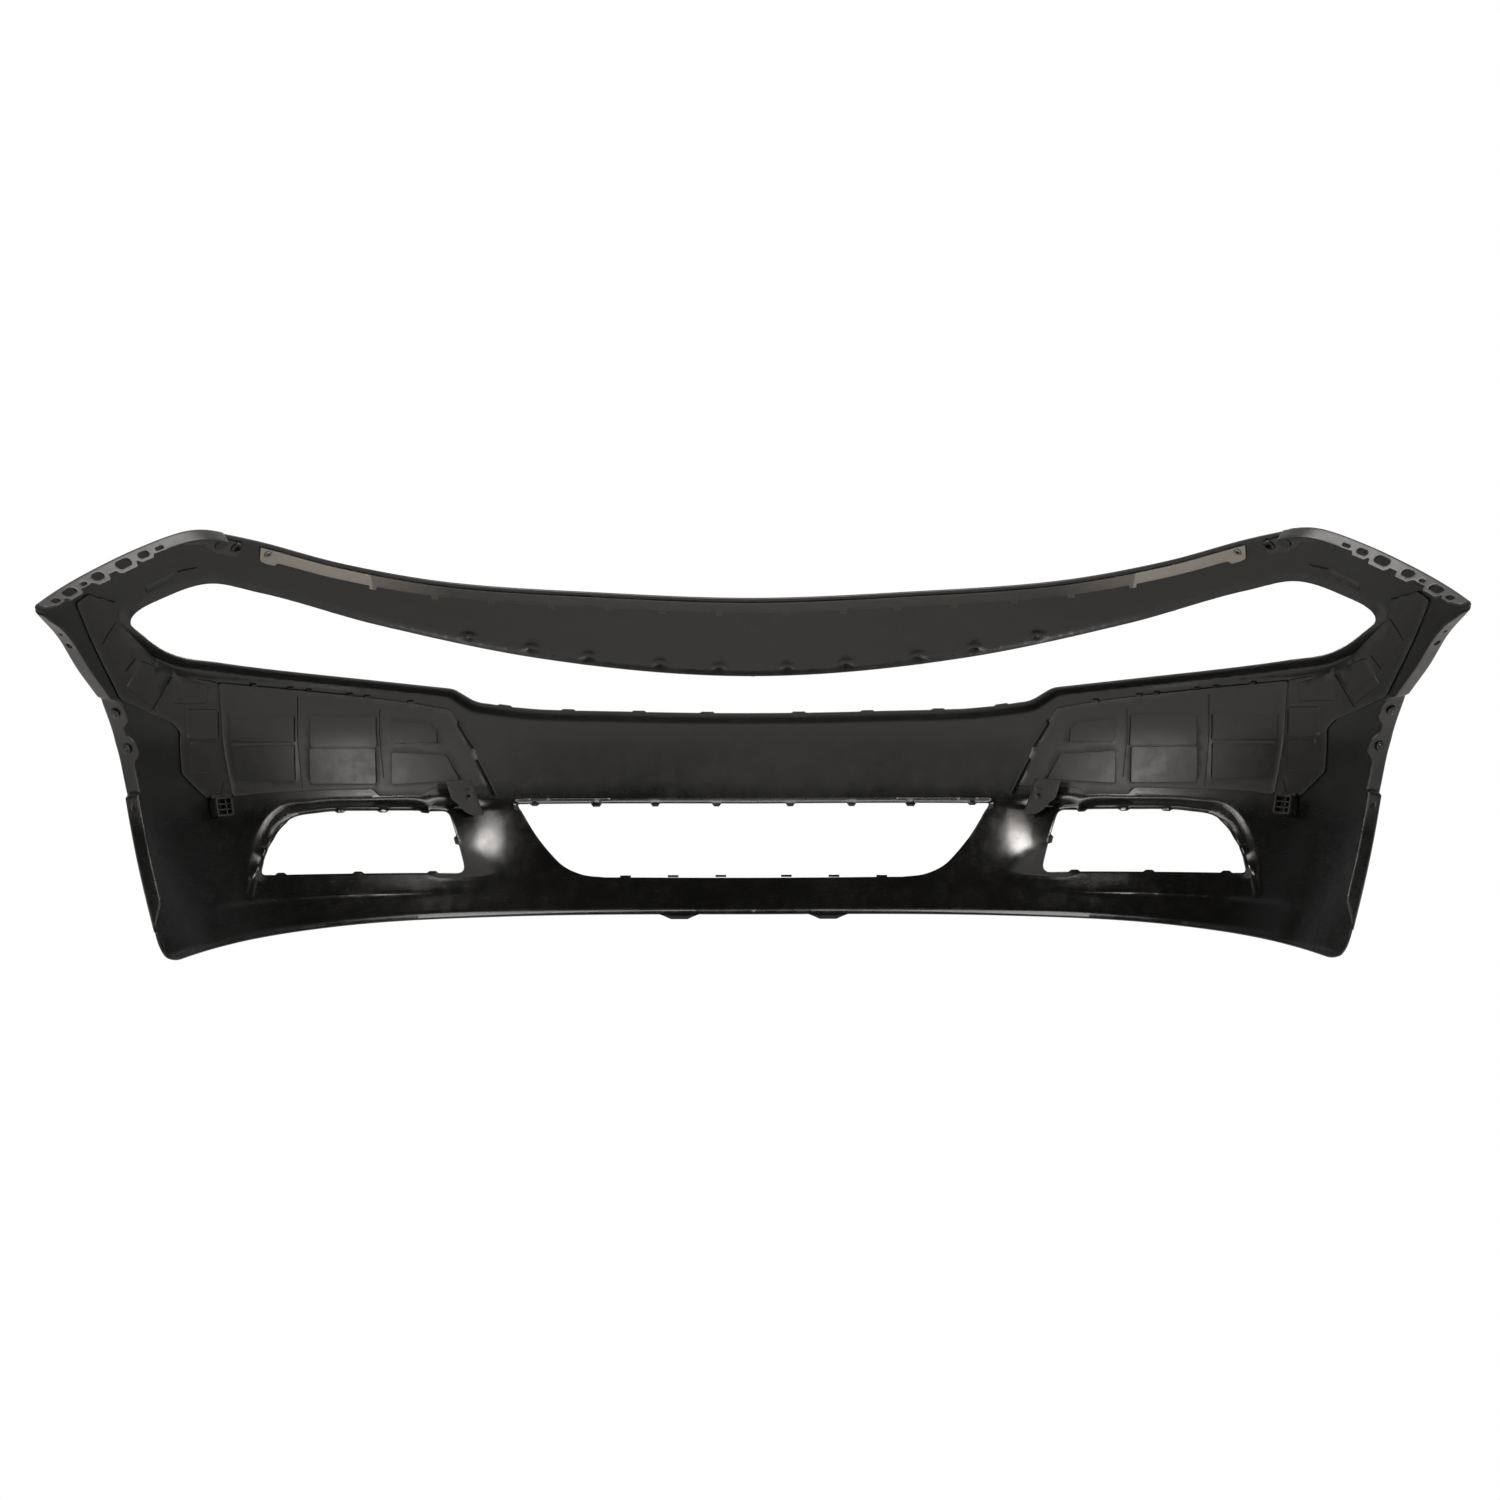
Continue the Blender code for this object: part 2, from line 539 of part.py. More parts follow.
def box(name, size, place, collection, finish=None):
    mesh = bpy.data.meshes.new(name)
    bm = bmesh.new()
    bmesh.ops.create_cube(bm, size=1.0, matrix=Matrix.Diagonal((*size, 1.0)))
    bm.to_mesh(mesh)
    bm.free()
    obj = add_object(name, mesh, finish, collection)
    obj.matrix_world = place
    return obj


def combine(obj, other, operation):
    """A Boolean of obj with a helper that is itself left out."""
    other.hide_render = True
    other.display_type = "WIRE"
    boolean = obj.modifiers.new(other.name, "BOOLEAN")
    boolean.operation = operation
    boolean.object = other
    boolean.solver = "EXACT"


def axes_at(origin, z_axis, up=(0, 0, 1)):
    """A placement whose local Z is z_axis and whose local Y is as near up as it can be."""
    z = Vector(z_axis).normalized()
    x = Vector(up).cross(z).normalized()
    y = z.cross(x)
    turn = Matrix((x, y, z)).transposed().to_4x4()
    return Matrix.Translation(Vector(origin)) @ turn


def mirrored_place(side, origin, z_axis):
    """The placement on the side given, +1 for the right and -1 for the left."""
    return axes_at((side * origin[0], *origin[1:]), (side * z_axis[0], *z_axis[1:]))


def flip(points, side):
    return points * [side, 1]


# ---------------------------------------------------------------- the pieces
SIDES = {"left": -1, "right": 1}

SKIN_RUNS = [  # the corner cut at the start of each stretch, the stretch and its spacing
    (0, LOWER_EDGE), (0.040, ARCH_LOWER), (0, ARCH_STEP_DOWN), (0, ARCH_MIDDLE, EDGE / 2),
    (0, ARCH_STEP_UP), (0, ARCH_UPPER), (0.004, FENDER_EDGE), (0.030, BONNET_EDGE),
    (0, [BONNET_EDGE[-1], LAMP_TOP[0]]),
    (0, LAMP_TOP), (0.012, LAMP_BOTTOM), (0.008, GRILLE_STEP), (0.010, GRILLE_BOTTOM),
    (0, [GRILLE_BOTTOM[-1], INTAKE_TOP[0]]), (0, INTAKE_TOP), (0.004, INTAKE_SIDE), (0, INTAKE_BOTTOM),
    (0, [INTAKE_BOTTOM[-1], LOWER_EDGE[0]]),
]
SKIN_OUTLINE, SPANS = rounded(SKIN_RUNS)
SKIN_OUTLINE = SKIN_OUTLINE[:-1]
ARCH_LINE = SKIN_OUTLINE[SPANS[1].start + 1 : SPANS[5].stop]
FENDER_LINE = SKIN_OUTLINE[SPANS[6].start : SPANS[7].start + 3]


SUPPORT_GUIDES = [
    offset_points(LEDGE_LINE, -LEDGE_WIDTH),
    offset_points(LEDGE_LINE, -LEDGE_WIDTH / 2),
    offset_points(walked(FOG_LINE, EDGE), -FOG_WALL / 2),
    offset_points(walked(FOG_LINE, EDGE), -FOG_WALL),
    walked(np.array([(t, CEILING_Z - CEILING_HALF) for t in CEILING_T]), EDGE / 2),
    walked(np.array([(t, CEILING_Z + CEILING_HALF) for t in CEILING_T]), EDGE / 2),
]


def arch_distance(z):
    """How far along the arch's fold line a height is."""
    return float(np.interp(z, ARCH_LINE[:, 1], lengths(ARCH_LINE)))


def arch_width(s):
    """Width of the arch flange: it widens into an ear round each retainer and is cut away at its tip."""
    ears = [1 - ramp(abs(s - arch_distance(z)), *EAR_REACH) for z in RETAINER_Z.values()]
    tip = ARCH_TIP_SHARE + (1 - ARCH_TIP_SHARE) * ramp(lengths(ARCH_LINE)[-1] - s, 0.0, ARCH_TIP)
    foot = ramp(s, 0.0, ARCH_FOOT)
    return FOLD + FLANGE_LEAST + (ARCH_FLANGE - FOLD) * tip * foot + EAR * float(max(ears))


def fender_width(s):
    return FOLD + FLANGE_LEAST + (FENDER_FLANGE - FOLD) * ramp(s, *FENDER_START)


def strip_outline():
    """Half of the strip, which follows the bonnet edge, with a row of small tabs below it."""
    edge = smooth_curve(BONNET_EDGE[::-1])
    edge = edge[edge[:, 0] <= STRIP_END_T]
    upper = offset_points(walked(edge, EDGE), -STRIP_MARGIN)
    upper[0, 0] = 0.0
    stops, drops = [0.0], [STRIP_WIDTH]
    root = TAB_HALF + TAB_SLOPE
    for tab in STRIP_TABS_T:
        stops += [tab - root, tab - TAB_HALF, tab + TAB_HALF, tab + root]
        drops += [STRIP_WIDTH, STRIP_WIDTH + TAB_DROP, STRIP_WIDTH + TAB_DROP, STRIP_WIDTH]
    last = upper[-1, 0]
    stops += [last - STRIP_END - STRIP_END_SLOPE, last - STRIP_END, last - STRIP_END_SLOPE, last]
    drops += [STRIP_WIDTH, STRIP_WIDTH + STRIP_END_DROP, STRIP_WIDTH + STRIP_END_DROP, STRIP_WIDTH]
    level = np.interp(stops, edge[:, 0], edge[:, 1]) - STRIP_MARGIN
    return np.concatenate([np.stack([stops, level - drops], axis=1), upper[::-1]])


def make_skin(finish):
    guides = [
        polygon(SUPPORT, SUPPORT_CORNER),
        polygon(LATTICE, SUPPORT_CORNER),
        *[polygon(corners, WINDOW_CORNER) for corners in WINDOWS],
        strip_outline(),
        ring(RIVET_AT, RIVET_COLLAR, 8),
        *SUPPORT_GUIDES,
        offset_points(INTAKE_TOP_LINE, INTAKE_TURN_WIDTH),
    ]
    rivet = ring(RIVET_AT, RIVET_HOLE)
    points, triangles = blank(SKIN_OUTLINE, [FOG_LOOP, rivet], guides=guides)
    patches = [(surface(points), triangles)]
    holes = [ring((arch_distance(z), ARCH_HOLE_DEPTH), radius, 8) for z, radius in ARCH_HOLES_Z]
    holes += [ring((arch_distance(z), RETAINER_DEPTH), SLEEVE_HOLE) for z in RETAINER_Z.values()]
    collars = [ring((arch_distance(z), RETAINER_DEPTH), COLLAR, 8) for z in RETAINER_Z.values()]
    flat, triangles = flange_blank(ARCH_LINE, arch_width, holes, collars)
    patches.append((turned(ARCH_LINE, flat), triangles))
    slots = [slot((s, FENDER_SLOT_DEPTH), length, width) for s, length, width in FENDER_SLOTS]
    flat, triangles = flange_blank(FENDER_LINE, fender_width, slots)
    patches.append((turned(FENDER_LINE, flat), triangles))
    return sheet("fascia_skin", patches, SKIN, finish, mirrored=True)


def make_support(side_name, side, finish):
    points, triangles = blank(polygon(SUPPORT, SUPPORT_CORNER), guides=SUPPORT_GUIDES)
    return sheet(
        f"headlamp_support_{side_name}", [(surface(flip(points, side), SUPPORT_INSET), triangles)],
        SUPPORT_WALL, finish,
    )


def make_lattice(side_name, side, finish):
    windows = [polygon(corners, WINDOW_CORNER) for corners in WINDOWS]
    points, triangles = blank(polygon(LATTICE, SUPPORT_CORNER), windows, guides=SUPPORT_GUIDES)
    return sheet(
        f"lattice_reinforcement_{side_name}", [(surface(flip(points, side), SUPPORT_INSET), triangles)],
        SUPPORT_WALL, finish,
    )


def make_strip(finish):
    hole = ring(RIVET_AT, RIVET_HOLE)
    points, triangles = blank(strip_outline(), [hole], guides=[ring(RIVET_AT, RIVET_COLLAR, 8)])
    patches = [(surface(points, STRIP_INSET), triangles)]
    return sheet("upper_retainer_strip", patches, STRIP_WALL, finish, mirrored=True)


def make_rivet(side_name, side, finish):
    """A tubular rivet: its head bears on the strip, its tail is rolled over on the skin's outer face."""
    at = np.array([[side * RIVET_AT[0], RIVET_AT[1]]])
    grip = STRIP_INSET + STRIP_WALL
    profile = [
        (0.0022, grip + 0.0016), (0.0050, grip + 0.0016), (0.0058, grip + 0.0010), (0.0058, grip + GAP),
        (0.0033, grip + GAP), (0.0033, -GAP), (0.0050, -GAP), (0.0046, -0.0010), (0.0022, -0.0013),
    ]
    return turned_piece(
        f"strip_end_rivet_{side_name}", profile, axes_at(surface(at)[0], -outward(at)[0]), finish
    )


def retainer_place(side, height):
    """Where a retainer sits: on the arch flange's rear face, its local Z pointing away from the flange."""
    q = np.array([[arch_distance(height), RETAINER_DEPTH]])
    origin = turned(ARCH_LINE, q, inset=-SEAT)[0]
    ahead = turned(ARCH_LINE, q, inset=0.01)[0]
    return mirrored_place(side, origin, origin - ahead)


def make_sleeve(name, place, finish):
    profile = [
        (0.0042, 0.0023), (0.0063, 0.0023), (0.0070, 0.0016), (0.0070, GAP), (0.0034, GAP),
        (0.0034, -0.0050), (0.0042, -0.0062), (0.0030, -0.0110), (0.0026, -0.0110), (0.0026, 0.0011),
        (0.0042, 0.0011),
    ]
    obj = turned_piece(name, profile, place, finish)
    split = box(name + "_split", SPLIT_SIZE, place @ Matrix.Translation((0, 0, SPLIT_Z)), CUTTERS)
    combine(obj, split, "DIFFERENCE")
    return obj


def make_pin(name, place, finish):
    profile = [
        (0, 0.0027), (0.0026, 0.0026), (0.0038, 0.0021), (0.0038, 0.0014), (0.0022, 0.0014),
        (0.0022, -0.0095), (0.0012, -0.0115), (0, -0.0115),
    ]
    return turned_piece(name, profile, place, finish)


def make_bracket(side_name, side, finish):
    """A plate behind the inner lower corner of the lattice, with a hole and a slot, on two webs."""
    at = np.array([[side * BRACKET_AT[0], BRACKET_AT[1]]])
    origin = surface(at, BRACKET_INSET)[0]
    place = axes_at(origin, (0, -1, 0))
    outline = polygon([(side * x, y) for x, y in BRACKET_OUTLINE], PLATE_CORNER)
    holes = [ring((0, 0), BRACKET_HOLE), slot((0, BRACKET_SLOT_Y), *BRACKET_SLOT)]
    obj = plate(f"inner_mount_bracket_{side_name}", [outline, *holes], BRACKET_WALL, place, finish)
    for number, (x, y, width, height, length) in enumerate(BRACKET_WEBS):
        middle = Matrix.Translation((side * x, y, -length / 2))
        web = box(f"bracket_web_{number}_{side_name}", (width, height, length), place @ middle, CUTTERS)
        combine(obj, web, "UNION")
    return obj


def make_socket(side_name, side, finish):
    """A clip socket: a small box with an opening through it, in front of the support's lower tab."""
    at = np.array([[side * SOCKET_AT[0], SOCKET_AT[1]]])
    place = axes_at(surface(at, SOCKET_INSET)[0], -outward(at)[0])
    obj = box(f"lower_clip_socket_{side_name}", SOCKET_SIZE, place, PARTS, finish)
    opening = box(f"socket_opening_{side_name}", SOCKET_OPENING, place, CUTTERS)
    combine(obj, opening, "DIFFERENCE")
    return obj


clear_scene()
PARTS = new_collection("bumper_cover")
CUTTERS = new_collection("cutters")

SKIN_BLACK = material("skin_black_moulded", (0.018, 0.018, 0.018), 0.42)
SUPPORT_BLACK = material("support_black_moulded", (0.028, 0.027, 0.026), 0.5)
STRIP_GREY = material("strip_grey_moulded", (0.22, 0.21, 0.20), 0.55)
CLIP_BLACK = material("clip_black_nylon", (0.02, 0.02, 0.02), 0.35)
RIVET_METAL = material("rivet_metal", (0.55, 0.54, 0.52), 0.35, 1.0)

make_skin(SKIN_BLACK)
make_strip(STRIP_GREY)
for side_name, side in SIDES.items():
    make_support(side_name, side, SUPPORT_BLACK)
    make_lattice(side_name, side, SUPPORT_BLACK)
    make_bracket(side_name, side, SUPPORT_BLACK)
    make_socket(side_name, side, SUPPORT_BLACK)
    make_rivet(side_name, side, RIVET_METAL)
    for level, height in RETAINER_Z.items():
        place = retainer_place(side, height)
        make_sleeve(f"arch_retainer_{level}_{side_name}", place, CLIP_BLACK)
        make_pin(f"arch_pin_{level}_{side_name}", place, CLIP_BLACK)
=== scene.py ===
import json
import math

import bmesh
import bpy
import numpy as np
from mathutils import Matrix, Vector
from mathutils.geometry import delaunay_2d_cdt
from mathutils.kdtree import KDTree


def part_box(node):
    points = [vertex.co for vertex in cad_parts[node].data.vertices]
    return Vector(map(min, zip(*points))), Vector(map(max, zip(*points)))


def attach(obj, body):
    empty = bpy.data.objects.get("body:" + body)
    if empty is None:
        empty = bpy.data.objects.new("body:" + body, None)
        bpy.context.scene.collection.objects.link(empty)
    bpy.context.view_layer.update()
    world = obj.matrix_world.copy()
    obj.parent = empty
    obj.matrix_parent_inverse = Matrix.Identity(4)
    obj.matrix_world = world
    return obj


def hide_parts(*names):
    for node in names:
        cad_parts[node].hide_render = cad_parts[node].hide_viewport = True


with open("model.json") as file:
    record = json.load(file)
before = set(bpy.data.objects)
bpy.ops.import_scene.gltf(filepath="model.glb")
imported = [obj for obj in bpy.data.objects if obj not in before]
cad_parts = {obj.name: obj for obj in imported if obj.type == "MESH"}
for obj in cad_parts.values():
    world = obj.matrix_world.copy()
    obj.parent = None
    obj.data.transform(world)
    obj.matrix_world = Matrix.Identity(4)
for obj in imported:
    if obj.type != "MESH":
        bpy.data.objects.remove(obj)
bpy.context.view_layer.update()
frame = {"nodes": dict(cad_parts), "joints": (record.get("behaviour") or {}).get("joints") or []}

# The visible bumper cover. Like the CAD solids, each moulded sheet is laid out flat, as a blank in two
# coordinates: t, the distance along the cover's plan curve from the centreline, and z, the height. It is cut,
# filled with fine triangles, bent onto the curved surface and given its wall.

# ---------------------------------------------------------------- sizes from the frame
LOW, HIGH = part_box("fascia_skin")
PLAN_HALF_WIDTH = 1.0155 * HIGH.x  # half the width that the plan curve would reach
PLAN_DEPTH = 0.9777 * (HIGH.y - LOW.y)  # how far back the plan curve would run
NOSE_Y = HIGH.y  # foremost point of the skin

# ---------------------------------------------------------------- sizes of the mouldings, in metres
PLAN_SQUARENESS = 2.8  # superellipse exponent of the plan curve
BELT_Z = 0.270  # height of the foremost point
RAKE, TUCK = 1.9, 0.55  # how strongly the section curves back above it and below it
DRAW_IN_Z = 0.30  # below this height the skin draws in
DRAW_IN, DRAW_IN_POWER = 0.097, 1.3
TUMBLEHOME_Z = 0.40  # above this height the skin leans in
TUMBLEHOME = 1.3
SKIN = 0.0030  # wall of the skin
SUPPORT_INSET = 0.0037  # from the skin's outer face to the near face of a support
SUPPORT_WALL = 0.0020
STRIP_INSET = 0.0036  # the same for the retainer strip
STRIP_WALL = 0.0022
STRIP_WIDTH = 0.015
STRIP_MARGIN = 0.005  # from the edge of the skin to the strip
STRIP_END_DROP = 0.005  # how much broader its end is, round the rivet
STRIP_END_FROM_T = (0.733, 0.741)
STRIP_CORNER = 0.006  # its rounded lower corner
FOLD = 0.006  # outer radius of a fold
FLANGE_EDGE = 0.002  # added to the width of every flange
FENDER_FLANGE = 0.032
FENDER_FOOT = (-0.03, 0.02)  # the fender flange grows between these distances along its fold
LOBE = (0.40, 40, 0.66)  # its width: share round a slot, gain per metre of slot width, share elsewhere
LOBE_END = (0.001, 0.014)  # the share round a slot ends between these distances past it
ARCH_FLANGE = 0.027
ARCH_TIP, ARCH_TIP_SHARE = 0.03, 0.4  # length and end width of the arch flange's narrowing at its tip
ARCH_FOOT = 0.04  # length of its narrowing at its foot
EAR = 0.012  # how far the arch flange widens round a retainer
EAR_END = (0.010, 0.026)  # the ear ends between these distances from the retainer
FOG_RECESS = 0.025  # depth of the pocket round the fog lamp opening
FOG_LEAD = 0.15  # soft start of that pocket's wall, as a share of the wall
LEDGE = 0.016  # how far the edge under the headlamps and grille turns back
LEDGE_WIDTH, LEDGE_EXTRA = 0.018, 0.005  # its width, and what it gains under the grille
LEDGE_EXTRA_AT = (0.67, 0.77)  # between these distances along it
LEDGE_SOFT = (0.3, 0.18)  # shares of it that round into the surface at each end
CREASE = 0.0016  # step of the crease along the lower lip
CREASE_STEP = (-0.001, 0.004)  # the step lies between these depths below the crease line
CREASE_SOFT = (0.2, 0.3)
CREASE_START_T, CREASE_END_T = (0.42, 0.64), (0.86, 0.95)  # it grows and runs out in these stretches
BEAD, BEAD_HALF = 0.0022, 0.0065  # height and half width of the bead round the headlamp opening
BEAD_START_T, BEAD_END_T = (0.56, 0.66), (0.93, 0.98)
ROLL, ROLL_HALF = 0.0022, 0.0080  # the same of the two rolled beads beside the fog lamp opening
BAND_POCKET = (0.018, 0.010, 0.0040)  # half length, half height and rise of a pocket in the band
BAND_POCKET_FLAT, BAND_POCKET_SOFT = 0.2, 0.4  # shares of it that are level and that are rounded
BLEND = 6  # how closely the recesses keep to the deepest one where they meet; higher is sharper
BAR_SUNK = 0.0004  # how far a bar reaches into the face that it stands on
BAR_ROUND = 0.3  # rounding of its top edges, as a share of its width or height
BAR_TOP = (0.75, 0.45)  # shares of its width where the rounding starts and ends
SKIN_ROUND, SUPPORT_ROUND, SMALL_ROUND = 0.0005, 0.0003, 0.0006  # rounding of the pieces' edges
EDGE, FINE_EDGE = 0.004, 0.003  # spacing of the points along an outline, and round a small piece
CELL, SMALL_CELL = 0.008, 0.005  # spacing of the points inside a blank, and inside a small one
GUIDE_GAP = 0.0012  # least distance from an outline to a point of a guide
GRID_GAP = 0.55  # least distance from the other points to a point of the grid, in cells
PROBE = 0.004  # half the distance over which the surface's direction is taken
ARC, RING, SLOT_END = 4, 32, 10  # points round a small corner, a hole and the end of a slot
TURN_STEPS = 56  # steps round a turned piece
HALF_TURN = math.pi

# ---------------------------------------------------------------- outlines in the blank, (t, z)
LOWER_EDGE = [(0, 0.0066), (0.434, 0.0088), (0.707, 0.0102), (0.932, 0.005), (1.058, -0.0025)]
ARCH_LOWER = [(1.058, -0.0025), (1.050, 0.131), (1.040, 0.221)]
ARCH_STEP_DOWN = [(1.040, 0.221), (1.034, 0.225)]
ARCH_MIDDLE = [(1.034, 0.225), (1.035, 0.287), (1.063, 0.367)]
ARCH_STEP_UP = [(1.063, 0.367), (1.071, 0.370)]
ARCH_UPPER = [(1.071, 0.370), (1.105, 0.406), (1.143, 0.451), (1.2034, 0.488)]
FENDER_EDGE = [(1.2034, 0.488), (1.049, 0.540), (0.972, 0.566), (0.902, 0.587), (0.865, 0.5948)]
BONNET_EDGE = [(0.865, 0.5948), (0.767, 0.580), (0.637, 0.551), (0.508, 0.5285), (0.232, 0.5075), (0, 0.499)]
LAMP_TOP = [
    (0, 0.379), (0.333, 0.409), (0.576, 0.462), (0.763, 0.510), (0.845, 0.523), (0.932, 0.501),
    (0.972, 0.486), (0.999, 0.470),
]
LAMP_BOTTOM = [
    (0.999, 0.470), (0.978, 0.456), (0.950, 0.438), (0.915, 0.424), (0.845, 0.413), (0.585, 0.380),
    (0.468, 0.3655),
]
GRILLE_STEP = [(0.468, 0.3655), (0.434, 0.3435)]
GRILLE_BOTTOM = [(0.434, 0.3435), (0.368, 0.3335), (0.211, 0.326), (0, 0.3225)]
INTAKE_TOP = [(0, 0.176), (0.381, 0.178)]
INTAKE_SIDE = [(0.381, 0.178), (0.352, 0.123), (0.337, 0.103), (0.318, 0.083), (0.288, 0.069), (0.250, 0.064)]
INTAKE_BOTTOM = [(0.250, 0.064), (0.128, 0.0625), (0, 0.062)]
FOG_TOP = [(0.496, 0.169), (0.611, 0.173), (0.713, 0.174), (0.761, 0.168), (0.795, 0.144), (0.831, 0.094)]
FOG_BOTTOM = [(0.831, 0.094), (0.660, 0.084), (0.480, 0.076)]
FOG_INNER = [(0.480, 0.076), (0.496, 0.169)]
LIP_CREASE = [(0.930, 0.058), (0.889, 0.059), (0.747, 0.055), (0.594, 0.050), (0.427, 0.050), (0.340, 0.047)]
SUPPORT = [
    (0.8433, 0.379), (0.881, 0.386), (0.945, 0.410), (0.975, 0.437), (1.012, 0.468), (1.015, 0.496),
    (1.076, 0.507), (1.103, 0.495), (1.066, 0.428), (1.030, 0.361), (0.970, 0.337), (0.932, 0.323),
    (0.917, 0.308), (0.926, 0.247), (0.891, 0.210), (0.8433, 0.209),
]
LATTICE = [
    (0.8427, 0.379), (0.717, 0.364), (0.627, 0.353), (0.536, 0.340), (0.474, 0.328), (0.440, 0.267),
    (0.424, 0.207), (0.516, 0.205), (0.531, 0.196), (0.600, 0.197), (0.607, 0.208), (0.783, 0.211),
    (0.8427, 0.209),
]
WINDOWS = [
    [(0.721, 0.284), (0.830, 0.289), (0.828, 0.328), (0.719, 0.324)],
    [(0.591, 0.272), (0.698, 0.276), (0.694, 0.323), (0.589, 0.320)],
    [(0.496, 0.276), (0.567, 0.277), (0.566, 0.312), (0.505, 0.307), (0.495, 0.294)],
    [(0.731, 0.226), (0.832, 0.231), (0.830, 0.283), (0.723, 0.279)],
    [(0.601, 0.216), (0.708, 0.220), (0.700, 0.273), (0.594, 0.270)],
    [(0.467, 0.218), (0.577, 0.214), (0.570, 0.263), (0.484, 0.257)],
]
LATTICE_TABS_T = (0.535, 0.602, 0.630, 0.694, 0.724, 0.785)  # small tabs along its upper edge
PADS = [  # raised squares on the corner support
    [(0.978, 0.414), (0.924, 0.393), (0.968, 0.348), (1.014, 0.377)],
    [(0.920, 0.394), (0.862, 0.375), (0.865, 0.349), (0.926, 0.351)],
    [(0.903, 0.341), (0.850, 0.339), (0.851, 0.294), (0.906, 0.297)],
    [(0.900, 0.292), (0.851, 0.289), (0.856, 0.245), (0.909, 0.248)],
]
STRIP_END_T = 0.764
STRIP_JOINT_AT = (0.586, 0.530)  # where the strip's pale end, partly a painted highlight, meets its darker middle
STRIP_SHEEN_FADE = 0.110  # length over which a painted highlight pales the middle towards that joint
STRIP_TAB = (0.012, -0.0050, 0.0012)  # a tab's length, rise to the left of the outline, and chamfer
STRIP_TABS_T = (0.051, 0.138, 0.224, 0.309, 0.401, 0.491, 0.585)
RIVET_AT = (0.752, 0.5665)
SOCKET_AT = (0.876, 0.193)
CORNER_PAD = [  # a raised plate on the skin, at its top corner
    (0.923, 0.5765), (0.858, 0.5775), (0.850, 0.5700), (0.834, 0.5650), (0.804, 0.5610), (0.792, 0.5740),
    (0.806, 0.5820), (0.862, 0.5905), (0.880, 0.5885),
]
PAD_HOLE, PAD_HOLE_RADIUS = (0.803, 0.5745), 0.0045
PAD_DOME = (0.8300, 0.5775)
FENDER_SLOTS = [  # from the tip along the edge, length and width
    (0.030, 0.018, 0.010), (0.069, 0.030, 0.014), (0.106, 0.013, 0.007), (0.140, 0.024, 0.015),
    (0.197, 0.030, 0.016), (0.238, 0.021, 0.012), (0.269, 0.016, 0.007),
]
RETAINER_Z = {"upper": 0.348, "lower": 0.291}  # heights of the retainers on the arch flange
ARCH_HOLES_Z = ((0.462, 0.003), (0.446, 0.0045), (0.205, 0.0035), (0.040, 0.0035))  # height and radius
BAND_POCKETS = [(0.053, 0.393), (0.145, 0.399), (0.256, 0.411), (0.344, 0.424), (0.440, 0.442)]
INTAKE_TABS_T, INTAKE_TAB = (0.060, 0.160, 0.252, 0.355), (0.016, -0.0030, 0.004)
INTAKE_SHELVES_T = (0.055, 0.135, 0.215, 0.290)
FOG_TOP_TABS_T, FOG_TOP_TAB = (0.532, 0.604, 0.677), (0.020, -0.0028, 0.005)
FOG_BOTTOM_TABS_T, FOG_BOTTOM_TAB = (0.534, 0.659, 0.790), (0.020, -0.0030, 0.005)
FOG_LUG_T, FOG_LUG = (0.4886,), (0.015, -0.0048, 0.003)  # the lug on that opening's inner side
BUMPS_T, BUMP = (0.070, 0.180, 0.290, 0.390), (0.024, -0.0022, 0.004)  # on the grille's lower edge
FOOT_T, FOOT = (0.128,), (0.068, -0.006, 0.020)  # half-round foot on the lower edge
# How much of both edges a rounded corner takes: where the arch flange meets the lower edge and the fender's
# edge, where that meets the bonnet's, at the grille's corners, the intake's, and below and above in the fog
# lamp opening. Corners of the supports and the lattice, of its windows, and of small pieces follow.
ARCH_CORNER, TIP_CORNER, BONNET_CORNER = 0.040, 0.004, 0.030
LAMP_CORNER, STEP_CORNER, GRILLE_CORNER = 0.012, 0.008, 0.010
INTAKE_CORNER, FOG_LOW_CORNER, FOG_HIGH_CORNER = 0.004, 0.014, 0.010
SUPPORT_CORNER, WINDOW_CORNER, SMALL_CORNER = 0.005, 0.004, 0.003

LAMP_BEAD = [  # a rounded bead below the headlamp's ledge and round its outer end
    (0.560, 0.350), (0.640, 0.360), (0.727, 0.371), (0.809, 0.378), (0.877, 0.385), (0.929, 0.398),
    (0.967, 0.421), (0.990, 0.443), (1.004, 0.462), (1.008, 0.480),
]
ROLLS = [[(0.774, 0.168), (0.793, 0.155), (0.806, 0.135)], [(0.813, 0.127), (0.832, 0.102), (0.852, 0.069)]]
SILL_SHARE = 0.02  # share of the pocket's depth along its lower edge
SILL_Z = (0.084, 0.150)  # heights between which the pocket grows to its full depth
SILL_OUTER_T = (0.795, 0.845)  # the same along the lower edge, towards its outer corner
SILL_END_Z = (0.072, 0.118)  # below that corner it runs out between these heights
OUTER_LOSS = 0.5  # share of its depth that the pocket loses towards its outer side
OUTER_T = (0.720, 0.820)
LEDGE_START = -4  # the ledge starts this point of the headlamp opening's upper edge
LEDGE_FADE = (0.125, 0.215)  # and grows to its full depth between these distances from there
PILLAR_RECESS = 0.020  # depth of the broad trough in the pillar, beside the fog lamp opening
PILLAR_WALL = 0.148  # its width
PILLAR_T = (0.500, 0.560)  # where the trough gives way to the pocket
PILLAR_Z = 0.149  # height where the trough is deepest
PILLAR_REACH = 0.079  # how far above and below that it would run out
PILLAR_CEILING_Z = (0.171, 0.198)  # heights between which the trough runs out above
PILLAR_CEILING_SOFT = (0.2, 0.5)

